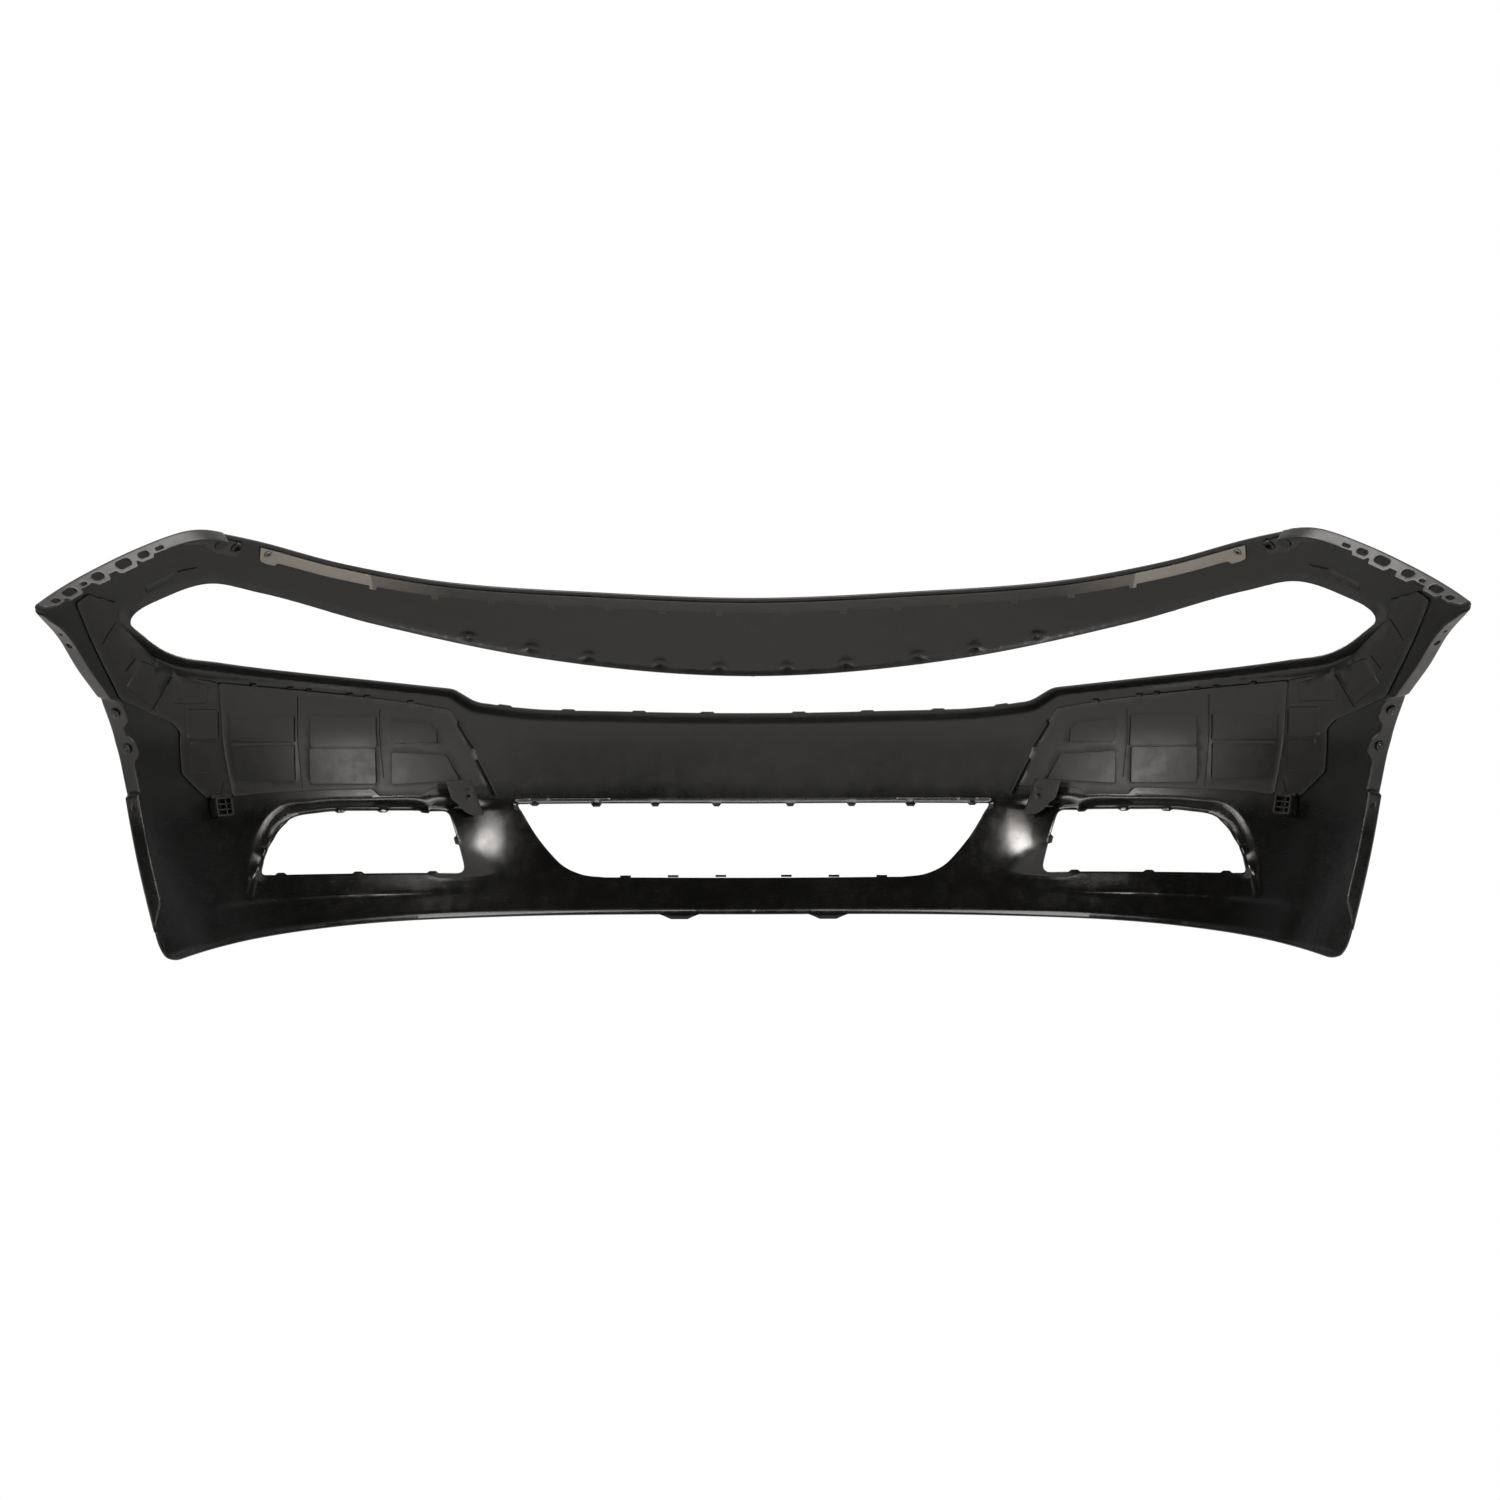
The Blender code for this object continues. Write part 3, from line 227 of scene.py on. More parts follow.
# How the pocket's wall changes round the fog lamp opening, by the share of the way round: bottom, inner
# side, top and outer side. Each row is share, start of the wall and its width.
FOG_WALL = np.array([
    (0.00, 0.001, 0.020), (0.08, 0.000, 0.036), (0.36, 0.000, 0.036), (0.52, 0.000, 0.024),
    (0.60, 0.001, 0.021), (0.80, 0.001, 0.020), (0.90, 0.001, 0.026), (1.00, 0.001, 0.020),
])
FOG_TAIL = 0.60  # soft end of the wall, as a share of it

# ---------------------------------------------------------------- the curved surface
_angle = np.linspace(0.0, HALF_TURN / 2, 3001)
PLAN_X = PLAN_HALF_WIDTH * np.sin(_angle) ** (2 / PLAN_SQUARENESS)
PLAN_Y = -PLAN_DEPTH * (1 - np.cos(_angle))
PLAN_LENGTH = np.concatenate([[0.0], np.cumsum(np.hypot(np.diff(PLAN_X), np.diff(PLAN_Y)))])


def ramp(x, start, end):
    """0 before start, 1 after end, and a smooth rise between them."""
    s = np.clip((x - start) / (end - start), 0.0, 1.0)
    return s * s * (3 - 2 * s)


def slope(x, start, end, lead, tail):
    """0 before start, 1 after end, and a straight rise between them, rounded over a share at each end."""
    u = np.clip((x - start) / (end - start), 0.0, 1.0)
    steep = 1 / (1 - lead / 2 - tail / 2)
    first = steep * u**2 / (2 * lead)
    middle = steep * (u - lead / 2)
    last = 1 - steep * (1 - u) ** 2 / (2 * tail)
    return np.where(u < lead, first, np.where(u < 1 - tail, middle, last))


def width_share(z):
    """The skin draws in towards its lower edge and, with a tumblehome, towards its top."""
    below = np.clip((DRAW_IN_Z - z) / DRAW_IN_Z, 0.0, None)
    above = np.clip(z - TUMBLEHOME_Z, 0.0, None)
    return 1 - DRAW_IN * below**DRAW_IN_POWER - TUMBLEHOME * above**2


def setback(z):
    """How far the section lies behind its foremost point: it rakes back above and tucks in below."""
    return np.where(z > BELT_Z, RAKE, TUCK) * (z - BELT_Z) ** 2


def smooth_surface(p):
    """Points in space of the surface without its recesses, for blank points p."""
    t, z = p[:, 0], p[:, 1]
    x = np.sign(t) * np.interp(np.abs(t), PLAN_LENGTH, PLAN_X)
    y = np.interp(np.abs(t), PLAN_LENGTH, PLAN_Y)
    return np.stack([x * width_share(z), NOSE_Y + y - setback(z), z], axis=1)


def unit(v):
    return v / np.linalg.norm(v, axis=-1, keepdims=True)


def left_of(way):
    return np.stack([-way[:, 1], way[:, 0]], axis=1)


def outward(p):
    """Unit normals of the surface, pointing out of the car."""
    along = smooth_surface(p + [PROBE, 0]) - smooth_surface(p - [PROBE, 0])
    up = smooth_surface(p + [0, PROBE]) - smooth_surface(p - [0, PROBE])
    return unit(np.cross(up, along))


def nearest(line, p):
    """Distance from each blank point to a polyline, and how far along the line its nearest point is."""
    best = np.full(len(p), np.inf)
    place = np.zeros(len(p))
    passed = 0.0
    for a, b in zip(line[:-1], line[1:]):
        ab = b - a
        length = np.linalg.norm(ab)
        share = np.clip(((p - a) @ ab) / (ab @ ab), 0, 1)
        gap = np.linalg.norm(p - a - share[:, None] * ab, axis=1)
        closer = gap < best
        best = np.where(closer, gap, best)
        place = np.where(closer, passed + share * length, place)
        passed += length
    return best, place


def gap_to(line, p):
    return nearest(line, p)[0]


# ---------------------------------------------------------------- curves in the blank
def lengths(line):
    return np.concatenate([[0], np.cumsum(np.linalg.norm(np.diff(line, axis=0), axis=1))])


def at_length(line, stops):
    known = lengths(line)
    return np.stack([np.interp(stops, known, line[:, k]) for k in range(line.shape[1])], axis=1)


def smooth_curve(points, step=0.002):
    """A cubic curve through the points, sampled about every step."""
    p = np.array(points, float)
    knot = lengths(p)
    if len(p) > 2:
        tangent = np.gradient(p, knot, axis=0)
        tangent[p[:, 0] == 0, 1] = 0  # a line crosses the centreline level
    else:
        tangent = np.repeat((p[1:] - p[:1]) / knot[1], 2, axis=0)
    samples = []
    for i, length in enumerate(np.diff(knot)):
        s = np.linspace(0, 1, max(1, math.ceil(length / step)), endpoint=False)[:, None]
        samples.append(
            (2 * s**3 - 3 * s**2 + 1) * p[i]
            + (s**3 - 2 * s**2 + s) * length * tangent[i]
            + (3 * s**2 - 2 * s**3) * p[i + 1]
            + (s**3 - s**2) * length * tangent[i + 1]
        )
    return np.concatenate([*samples, p[-1:]])


def walked(line, skip_start=0.0, skip_end=0.0):
    """The polyline walked at an even pace, less a stretch at each end."""
    first, last = skip_start, lengths(line)[-1] - skip_end
    return at_length(line, np.linspace(first, last, max(2, math.ceil((last - first) / EDGE) + 1)))


def tabs(places, shape):
    """The same tab at several places along an outline's stretch."""
    return [(t, *shape) for t in places]


def corner_arc(before, corner, after, count):
    s = np.linspace(0, 1, count + 2)[1:-1, None]
    return (1 - s) ** 2 * before + 2 * s * (1 - s) * corner + s**2 * after


def tabbed(line, tabs):
    """An outline's stretch with tabs of (t, length, rise, chamfer); a rise to the left is positive."""
    s = lengths(line)
    extra = []
    found = []
    for t, length, rise, chamfer in tabs:
        middle = s[np.abs(line[:, 0] - t).argmin()]
        half = length / 2
        extra += [middle - half, middle - half + chamfer, middle + half - chamfer, middle + half]
        found.append((middle, half, rise, chamfer))
    s = np.sort(np.concatenate([s, extra]))
    points = at_length(line, s)
    way = unit(np.gradient(at_length(line, s + 1e-6), axis=0) + 1e-12)
    rises = np.zeros(len(s))
    for middle, half, rise, chamfer in found:
        rises += rise * np.clip((half - np.abs(s - middle)) / chamfer, 0, 1)
    points = points + rises[:, None] * left_of(way)
    keep = np.concatenate([[True], np.linalg.norm(np.diff(points, axis=0), axis=1) > 1e-5])
    return points[keep]


def rounded(runs, closed=False):
    """Runs of (cut, points, tabs) joined end to end; the corner at a run's start is cut back and rounded.

    It returns the points and, for each run, the slice of them that lies on it.
    """
    lines = [smooth_curve(run[1]) for run in runs]
    tabs = [run[2] if len(run) > 2 else () for run in runs]
    cuts = [run[0] for run in runs] + [runs[0][0] if closed else 0.0]
    stretches = [walked(line, cuts[i], cuts[i + 1]) for i, line in enumerate(lines)]
    stretches = [tabbed(line, here) if here else line for line, here in zip(stretches, tabs)]
    joined, spans, total = [], [], 0
    for i, stretch in enumerate(stretches):
        meets = i > 0 and not cuts[i]
        if meets:
            stretch = stretch[1:]
        joined.append(stretch)
        spans.append(slice(total - 1 if meets else total, total + len(stretch)))
        if cuts[i + 1]:
            after = stretches[(i + 1) % len(stretches)][0]
            count = max(3, math.ceil(1.6 * cuts[i + 1] / EDGE))  # an arc is about 1.6 times its cut
            joined.append(corner_arc(stretch[-1], lines[i][-1], after, count))
        total = sum(map(len, joined))
    return np.concatenate(joined), spans


def polygon(corners, cut, step=EDGE):
    """A closed outline with straight sides, each corner cut back and rounded."""
    p = np.array(corners, float)
    points = []
    for before, here, after in zip(np.roll(p, 1, axis=0), p, np.roll(p, -1, axis=0)):
        a = here + cut * unit(before - here)
        b = here + cut * unit(after - here)
        end = after + cut * unit(here - after)
        side = np.linspace(b, end, max(1, math.ceil(np.linalg.norm(end - b) / step)), endpoint=False)
        points += [a, *corner_arc(a, here, b, ARC), *side]
    return np.array(points)


def inward(loop):
    """Unit vectors from the points of a closed outline towards its inside."""
    after = np.roll(loop, -1, axis=0)
    turn = np.sign(np.sum(loop[:, 0] * after[:, 1] - after[:, 0] * loop[:, 1]))
    return turn * left_of(unit(after - np.roll(loop, 1, axis=0)))


def ring(centre, radius):
    angles = np.arange(RING) * 2 * HALF_TURN / RING
    return np.array(centre) + radius * np.stack([np.cos(angles), np.sin(angles)], axis=1)


def slot_outline(centre, length, width):
    """A slot with round ends, along the first coordinate."""
    angles = np.linspace(-HALF_TURN / 2, HALF_TURN / 2, SLOT_END + 1)
    end = width / 2 * np.stack([np.cos(angles), np.sin(angles)], axis=1) + [(length - width) / 2, 0]
    return np.array(centre) + np.concatenate([end, -end])


def closed(loop):
    return np.concatenate([loop, loop[:1]])


def inside(loop, p):
    """Which points lie inside a closed outline."""
    within = np.zeros(len(p), bool)
    for a, b in zip(loop, np.roll(loop, -1, axis=0)):
        crosses = (a[1] > p[:, 1]) != (b[1] > p[:, 1])
        rise = b[1] - a[1] if b[1] != a[1] else 1.0
        within ^= crosses & (p[:, 0] < a[0] + (p[:, 1] - a[1]) * (b[0] - a[0]) / rise)
    return within


def offset_points(line, distance):
    """Points beside a line, to its left when the distance is positive."""
    return line + distance * left_of(unit(np.gradient(line, axis=0)))


LAMP_EDGE = rounded([(0, LAMP_BOTTOM)])[0]
GRILLE_EDGE = rounded([(0, GRILLE_STEP), (GRILLE_CORNER, GRILLE_BOTTOM)])[0]
LEDGE_LINE = rounded([
    (0, LAMP_TOP[LEDGE_START:]), (LAMP_CORNER, LAMP_BOTTOM), (STEP_CORNER, GRILLE_STEP),
    (GRILLE_CORNER, GRILLE_BOTTOM),
])[0]
BAND_LINE = smooth_curve(LAMP_TOP, EDGE)
INTAKE_TOP_LINE = smooth_curve(INTAKE_TOP, EDGE)
INTAKE_LINE = rounded([(0, INTAKE_TOP), (INTAKE_CORNER, INTAKE_SIDE), (0, INTAKE_BOTTOM)])[0]
LIP_LINE = smooth_curve(LOWER_EDGE, EDGE)
CREASE_LINE = smooth_curve(LIP_CREASE, EDGE)
BEAD_LINE = smooth_curve(LAMP_BEAD, EDGE)
ROLL_LINES = [smooth_curve(points, EDGE) for points in ROLLS]
FOG_RUNS = [
    (FOG_LOW_CORNER, FOG_BOTTOM, tabs(FOG_BOTTOM_TABS_T, FOG_BOTTOM_TAB)),
    (FOG_LOW_CORNER, FOG_INNER, tabs(FOG_LUG_T, FOG_LUG)),
    (FOG_HIGH_CORNER, FOG_TOP, tabs(FOG_TOP_TABS_T, FOG_TOP_TAB)),
]
FOG_LOOP = rounded(FOG_RUNS, closed=True)[0]
FOG_PLAIN = rounded([run[:2] for run in FOG_RUNS], closed=True)[0]  # without its tabs
FOG_LINE = closed(FOG_PLAIN)
FOG_LENGTH = lengths(FOG_LINE)[-1]
TURNS = [  # edges that turn back: line, how far, over what width, its soft start and end, and share lost
    (INTAKE_TOP_LINE, 0.006, 0.008, 0.3, 0.2, 0.0),
    (BAND_LINE, 0.006, 0.0085, 0.2, 0.3, 0.6),
    (LIP_LINE, 0.003, 0.009, 0.2, 0.3, 0.0),
]
TURN_LOSS_T = (0.60, 0.75)  # that share is lost between these distances from the centreline


# ---------------------------------------------------------------- the recessed surface
def fog_wall(place):
    """Start and width of the pocket's wall, by distance along the opening's edge."""
    share = place / FOG_LENGTH
    return [np.interp(share, FOG_WALL[:, 0], FOG_WALL[:, k]) for k in (1, 2)]


def ridge(gap, half_width):
    """The rounded section of a bead: 1 on its centreline and 0 beyond its half width."""
    return (1 - np.clip(gap / half_width, 0, 1) ** 2) ** 2


def recess(p):
    """How far the skin is set in: pockets, turned edges, beads and creases."""
    t, z = np.abs(p[:, 0]), p[:, 1]
    side = np.stack([t, z], axis=1)
    gap, place = nearest(FOG_LINE, side)
    start, width = fog_wall(place)
    pillar = 1 - ramp(t, *PILLAR_T)
    outer = ramp(t, *SILL_OUTER_T) * ramp(z, *SILL_END_Z)
    rise = np.maximum(ramp(z, *SILL_Z), outer) * (1 - OUTER_LOSS * ramp(t, *OUTER_T))
    depth = FOG_RECESS * (SILL_SHARE + (1 - SILL_SHARE) * rise)
    pocket = (1 - pillar) * depth * (1 - slope((gap - start) / width, 0, 1, FOG_LEAD, FOG_TAIL))
    trough = pillar * PILLAR_RECESS * np.clip(1 - gap / PILLAR_WALL, 0, None) ** 2
    trough *= np.clip(1 - ((z - PILLAR_Z) / PILLAR_REACH) ** 2, 0, None)
    trough *= 1 - slope(z, *PILLAR_CEILING_Z, *PILLAR_CEILING_SOFT)
    gap, place = nearest(LEDGE_LINE, side)
    broad = LEDGE_WIDTH + LEDGE_EXTRA * ramp(place, *LEDGE_EXTRA_AT)
    ledge = LEDGE * ramp(place, *LEDGE_FADE) * (1 - slope(gap / broad, 0, 1, *LEDGE_SOFT))
    bead = BEAD * ridge(gap_to(BEAD_LINE, side), BEAD_HALF)
    ledge += bead * ramp(t, *BEAD_START_T) * (1 - ramp(t, *BEAD_END_T))
    turns = []
    for line, turn, reach, lead, tail, loss in TURNS:
        plain = turn * (1 - slope(gap_to(line, side), 0, reach, lead, tail))
        turns.append(plain * (1 - loss * ramp(t, *TURN_LOSS_T)))
    below = np.interp(t, CREASE_LINE[::-1, 0], CREASE_LINE[::-1, 1]) - z
    fade = ramp(t, *CREASE_START_T) * (1 - ramp(t, *CREASE_END_T))
    crease = CREASE * fade * slope(below, *CREASE_STEP, *CREASE_SOFT)
    deepest = (np.stack([pocket, trough, ledge, *turns]) ** BLEND).sum(axis=0) ** (1 / BLEND)
    rolls = ROLL * np.max([ridge(gap_to(line, side), ROLL_HALF) for line in ROLL_LINES], axis=0)
    bulge = np.zeros(len(p))
    half_length, half_height, bulging = BAND_POCKET
    for middle_t, middle_z in BAND_POCKETS:
        reach = np.hypot((t - middle_t) / half_length, (z - middle_z) / half_height)
        bulge += bulging * (1 - slope(reach, BAND_POCKET_FLAT, 1.0, BAND_POCKET_SOFT, BAND_POCKET_SOFT))
    return deepest + crease + rolls - bulge


def surface(p, inset=0.0):
    """Points in space for blank points, with the recesses, and inset further from the outer face."""
    return smooth_surface(p) - outward(p) * (recess(p) + inset)[:, None]


def turned(line, q):
    """Points of a flange folded inwards along a line: q = (distance along the line, distance past it)."""
    reach = 0.03  # the fold's direction is smoothed over this distance each way
    total = lengths(line)[-1]
    p = at_length(line, q[:, 0])
    after = at_length(line, np.minimum(q[:, 0] + reach, total))
    before = at_length(line, np.maximum(q[:, 0] - reach, 0))
    way = unit(after - before)
    beyond = -PROBE * left_of(way)
    normal = outward(p)
    out = smooth_surface(p + beyond) - smooth_surface(p - beyond)
    out = unit(out - normal * (out * normal).sum(axis=1, keepdims=True))
    angle = np.minimum(q[:, 1] / FOLD, HALF_TURN / 2)[:, None]
    straight = np.maximum(q[:, 1] - FOLD * HALF_TURN / 2, 0)[:, None]
    return surface(p) + FOLD * (out * np.sin(angle) - normal * (1 - np.cos(angle))) - normal * straight


# ---------------------------------------------------------------- blanks
def filled(outline, holes=(), guides=(), cell=CELL, busy=None):
    """A flat outline with holes, filled with triangles whose edges follow the guides: (points, triangles).

    busy says for points whether the triangles there are half as large.
    """
    def free(p):
        kept = inside(outline, p)
        for hole in holes:
            kept &= ~inside(hole, p)
        return kept

    def clearance(known, p):
        tree = KDTree(len(known))
        for i, point in enumerate(known):
            tree.insert((*point, 0.0), i)
        tree.balance()
        return np.array([tree.find((*point, 0.0))[2] for point in p])

    points, edges = [], []
    for loop in [outline, *holes]:
        first = len(points)
        points += list(loop)
        edges += [(first + i, first + (i + 1) % len(loop)) for i in range(len(loop))]
    fixed = list(points)
    for guide in guides:
        kept = free(guide) & (clearance(fixed, guide) > GUIDE_GAP)
        for i in np.flatnonzero(kept):
            points.append(guide[i])
            if i and kept[i - 1]:
                edges.append((len(points) - 2, len(points) - 1))
    fixed = list(points)
    for spacing, fine in ((cell, False), (cell / 2, True)):
        if fine and busy is None:
            break
        low, high = np.floor(outline.min(axis=0) / spacing), np.ceil(outline.max(axis=0) / spacing)
        across, up = np.meshgrid(np.arange(low[0], high[0]), np.arange(low[1], high[1]))
        grid = spacing * np.stack([across + 0.5 * (up % 2), up], axis=-1).reshape(-1, 2)
        if busy is not None:
            grid = grid[busy(grid) == fine]
        grid = grid[free(grid)]
        points += list(grid[clearance(fixed, grid) > GRID_GAP * spacing])
    points, _, faces, *_ = delaunay_2d_cdt([Vector(p) for p in points], edges, [], 0, 1e-7)
    points = np.array([tuple(p) for p in points])
    faces = np.array(faces)
    sides = points[faces][:, 1:] - points[faces][:, :1]
    areas = np.abs(sides[:, 0, 0] * sides[:, 1, 1] - sides[:, 0, 1] * sides[:, 1, 0]) / 2
    return points, faces[free(points[faces].mean(axis=1)) & (areas > 1e-10)]


def flange_blank(line, width, holes):
    """The blank of a flange along a fold line. width gives its width at each distance along the line."""
    s = lengths(line)
    bends = FOLD * np.linspace(0, HALF_TURN / 2, 6)[1:]
    edge = np.array([(x, width(x)) for x in s[::-1]])
    ends = [[(s[-1], bend) for bend in bends], [(0, bend) for bend in bends[::-1]]]
    outline = np.concatenate([np.stack([s, 0 * s], axis=1), ends[0], edge, ends[1]])
    rows = [np.stack([s, 0 * s + bend], axis=1) for bend in bends]
    return filled(outline, holes, rows, CELL / 2)


# ---------------------------------------------------------------- objects
SHARP, BEVELLED = math.radians(35), math.radians(50)  # edges with a larger angle stay sharp, and are rounded


def add_object(name, data):
    obj = bpy.data.objects.new(name, data)
    bpy.context.scene.collection.objects.link(obj)
    return obj


def finished(name, bm):
    """The mesh of a bmesh, which is freed."""
    mesh = bpy.data.meshes.new(name)
    bm.to_mesh(mesh)
    bm.free()
    return mesh


def evaluated(obj):
    """The object's mesh with its modifiers and its place applied; the object itself is removed."""
    bpy.context.view_layer.update()
    graph = bpy.context.evaluated_depsgraph_get()
    mesh = bpy.data.meshes.new_from_object(obj.evaluated_get(graph))
    mesh.transform(obj.matrix_world)
    bpy.data.objects.remove(obj, do_unlink=True)
    return mesh


def piece(name, meshes, finish, stands_for=None, body="cover"):
    """One visible piece from its meshes, shaded, with its material, body and CAD node."""
    bm = bmesh.new()
    for mesh in meshes:
        bm.from_mesh(mesh)
    joined = finished(name, bm)
    joined.materials.clear()
    joined.materials.append(finish)
    joined.shade_smooth()
    joined.set_sharp_from_angle(angle=SHARP)
    obj = add_object(name, joined)
    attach(obj, body)
    if stands_for:
        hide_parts(stands_for)
    return obj


def sheet(patches, wall, round_edge, mirrored=False, facing=(0, 1, 0), place=None):
    """A moulded sheet from patches of (points, triangles) that meet along shared points.

    The points lie on the face that faces the given way, and the wall is added behind it.
    """
    bm = bmesh.new()
    for points, triangles in patches:
        verts = [bm.verts.new(p) for p in points]
        for triangle in triangles:
            bm.faces.new([verts[i] for i in triangle])
    bmesh.ops.remove_doubles(bm, verts=bm.verts, dist=1e-5)
    bmesh.ops.delete(bm, geom=[v for v in bm.verts if not v.link_faces], context="VERTS")
    bmesh.ops.recalc_face_normals(bm, faces=bm.faces)
    if sum(face.normal.dot(Vector(facing)) * face.calc_area() for face in bm.faces) < 0:
        bmesh.ops.reverse_faces(bm, faces=bm.faces)
    obj = add_object("sheet", finished("sheet", bm))
    if mirrored:
        obj.modifiers.new("both_sides", "MIRROR").merge_threshold = 0.0001
    shell = obj.modifiers.new("wall", "SOLIDIFY")
    shell.thickness = wall
    shell.offset = -1
    shell.use_even_offset = True
    shell.use_quality_normals = True
    bevel = obj.modifiers.new("edges", "BEVEL")
    bevel.width = round_edge
    bevel.segments = 2
    bevel.limit_method = "ANGLE"
    bevel.angle_limit = BEVELLED
    if place:
        obj.matrix_world = place
    return evaluated(obj)


def bar(path, inset, width, height):
    """A rib along a blank polyline, on the inner side. It narrows to its top, whose edges are rounded."""
    p = walked(np.array(path, float))
    aside = left_of(unit(np.gradient(p, axis=0))) * width / 2
    low, top = BAR_TOP
    flank = [(1, -BAR_SUNK), (low, height - BAR_ROUND * min(width, height)), (top, height)]
    section = flank + [(-share, rise) for share, rise in flank[::-1]]
    rows = np.stack([surface(p + share * aside, inset + rise) for share, rise in section], axis=1)
    mesh = bpy.data.meshes.new("bar")
    count = len(section)
    corners = ((0, 0), (1, 0), (1, 1), (0, 1))
    faces = [
        [(i + row) * count + (k + step) % count for row, step in corners]
        for i in range(len(p) - 1)
        for k in range(count)
    ]
    last = (len(p) - 1) * count
    faces += [range(count), range(last + count - 1, last - 1, -1)]
    mesh.from_pydata(rows.reshape(-1, 3), [], faces)
    return facing_out(mesh)


def bars(side, paths, inset, width, height):
    """Ribs on one side, along paths given for the right side."""
    return [bar([(side * t, z) for t, z in path], inset, width, height) for path in paths]


def level_paths(middles, half_length):
    """Short level paths about their middles."""
    return [[(t - half_length, z), (t + half_length, z)] for t, z in middles]


def facing_out(mesh):
    bm = bmesh.new()
    bm.from_mesh(mesh)
    bmesh.ops.recalc_face_normals(bm, faces=bm.faces)
    return finished(mesh.name, bm)


def lathe(profile, place):
    """A turned mesh: a profile of (radius, height) spun round the placement's local Z axis."""
    mesh = bpy.data.meshes.new("lathe")
    points = [(radius, 0.0, height) for radius, height in profile]
    last = len(points) - 1
    around = [] if profile[0][0] == 0 else [(last, 0)]
    mesh.from_pydata(points, [(i, i + 1) for i in range(last)] + around, [])
    obj = add_object("lathe", mesh)
    screw = obj.modifiers.new("turn", "SCREW")
    screw.steps = screw.render_steps = TURN_STEPS
    screw.use_merge_vertices = True
    screw.merge_threshold = 1e-6
    obj.matrix_world = place
    return facing_out(evaluated(obj))


def block(size, place, soft=SMALL_ROUND):
    """A box with rounded edges, centred on the placement."""
    bm = bmesh.new()
    bmesh.ops.create_cube(bm, size=1.0, matrix=Matrix.Diagonal((*size, 1.0)))
    bmesh.ops.bevel(bm, geom=bm.edges[:], offset=soft, segments=2, affect="EDGES", profile=0.5)
    mesh = finished("block", bm)
    mesh.transform(place)
    return mesh


def axes_at(origin, z_axis):
    """A placement whose local Z is z_axis and whose local Y is as near up as it can be."""
    z = Vector(z_axis).normalized()
    x = Vector((0, 0, 1)).cross(z).normalized()
    y = z.cross(x)
    return Matrix.Translation(Vector(origin)) @ Matrix((x, y, z)).transposed().to_4x4()


def standing(node, axis, top):
    """The placement of a turned CAD node: its local Z along axis, its highest point at the height top."""
    points = np.array([v.co for v in frame["nodes"][node].data.vertices])
    axis = np.array(unit(np.array(axis, float)))
    middle = points.mean(axis=0)
    return axes_at(middle + axis * ((points @ axis).max() - top - middle @ axis), axis)


def centre(node):
    low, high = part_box(node)
    return (low + high) / 2


# ---------------------------------------------------------------- materials
SATIN_Z = (0.175, 0.215)  # the skin turns from glossy to satin between these heights


class Nodes:
    """Adds and links the nodes of one material, or of a part of the stage."""

    def __init__(self, owner, stage=False):
        owner.use_nodes = True
        self.owner = owner
        self.tree = owner.node_tree
        if stage:
            self.tree.nodes.clear()
        else:
            self.shader = self.tree.nodes["Principled BSDF"]
            self.place = self.add("ShaderNodeTexCoord").outputs["Object"]

    def plug(self, socket, value):
        if isinstance(value, bpy.types.NodeSocket):
            self.tree.links.new(value, socket)
        else:
            socket.default_value = value

    def add(self, kind, inputs=None, **settings):
        node = self.tree.nodes.new(kind)
        for key, value in settings.items():
            setattr(node, key, value)
        for key, value in (inputs or {}).items():
            self.plug(node.inputs[key], value)
        return node

    def noise(self, scale, detail, roughness, stretch=None):
        place = self.place
        if stretch:
            place = self.add("ShaderNodeMapping", {"Vector": place, "Scale": stretch}).outputs[0]
        made = self.add(
            "ShaderNodeTexNoise", {"Vector": place, "Scale": scale, "Detail": detail, "Roughness": roughness}
        )
        return made.outputs["Fac"]

    def spread(self, value, low, high, to_low, to_high):
        """The value between low and high, stretched to the new limits."""
        made = self.add(
            "ShaderNodeMapRange",
            {"Value": value, "From Min": low, "From Max": high, "To Min": to_low, "To Max": to_high},
        )
        return made.outputs["Result"]

    def mixed(self, share, first, second):
        made = self.add("ShaderNodeMix", {"Factor": share}, data_type="RGBA")
        for index, colour in ((6, first), (7, second)):
            self.plug(made.inputs[index], (*colour, 1.0) if isinstance(colour, tuple) else colour)
        return made.outputs[2]

    def total(self, first, second):
        return self.add("ShaderNodeMath", {0: first, 1: second}, operation="ADD").outputs[0]

    def set(self, **inputs):
        for key, value in inputs.items():
            self.plug(self.shader.inputs[key.replace("_", " ")], value)

    def bump(self, height, distance, strength=1.0, normal=None):
        inputs = {"Height": height, "Distance": distance, "Strength": strength}
        if normal:
            inputs["Normal"] = normal
        return self.add("ShaderNodeBump", inputs).outputs["Normal"]


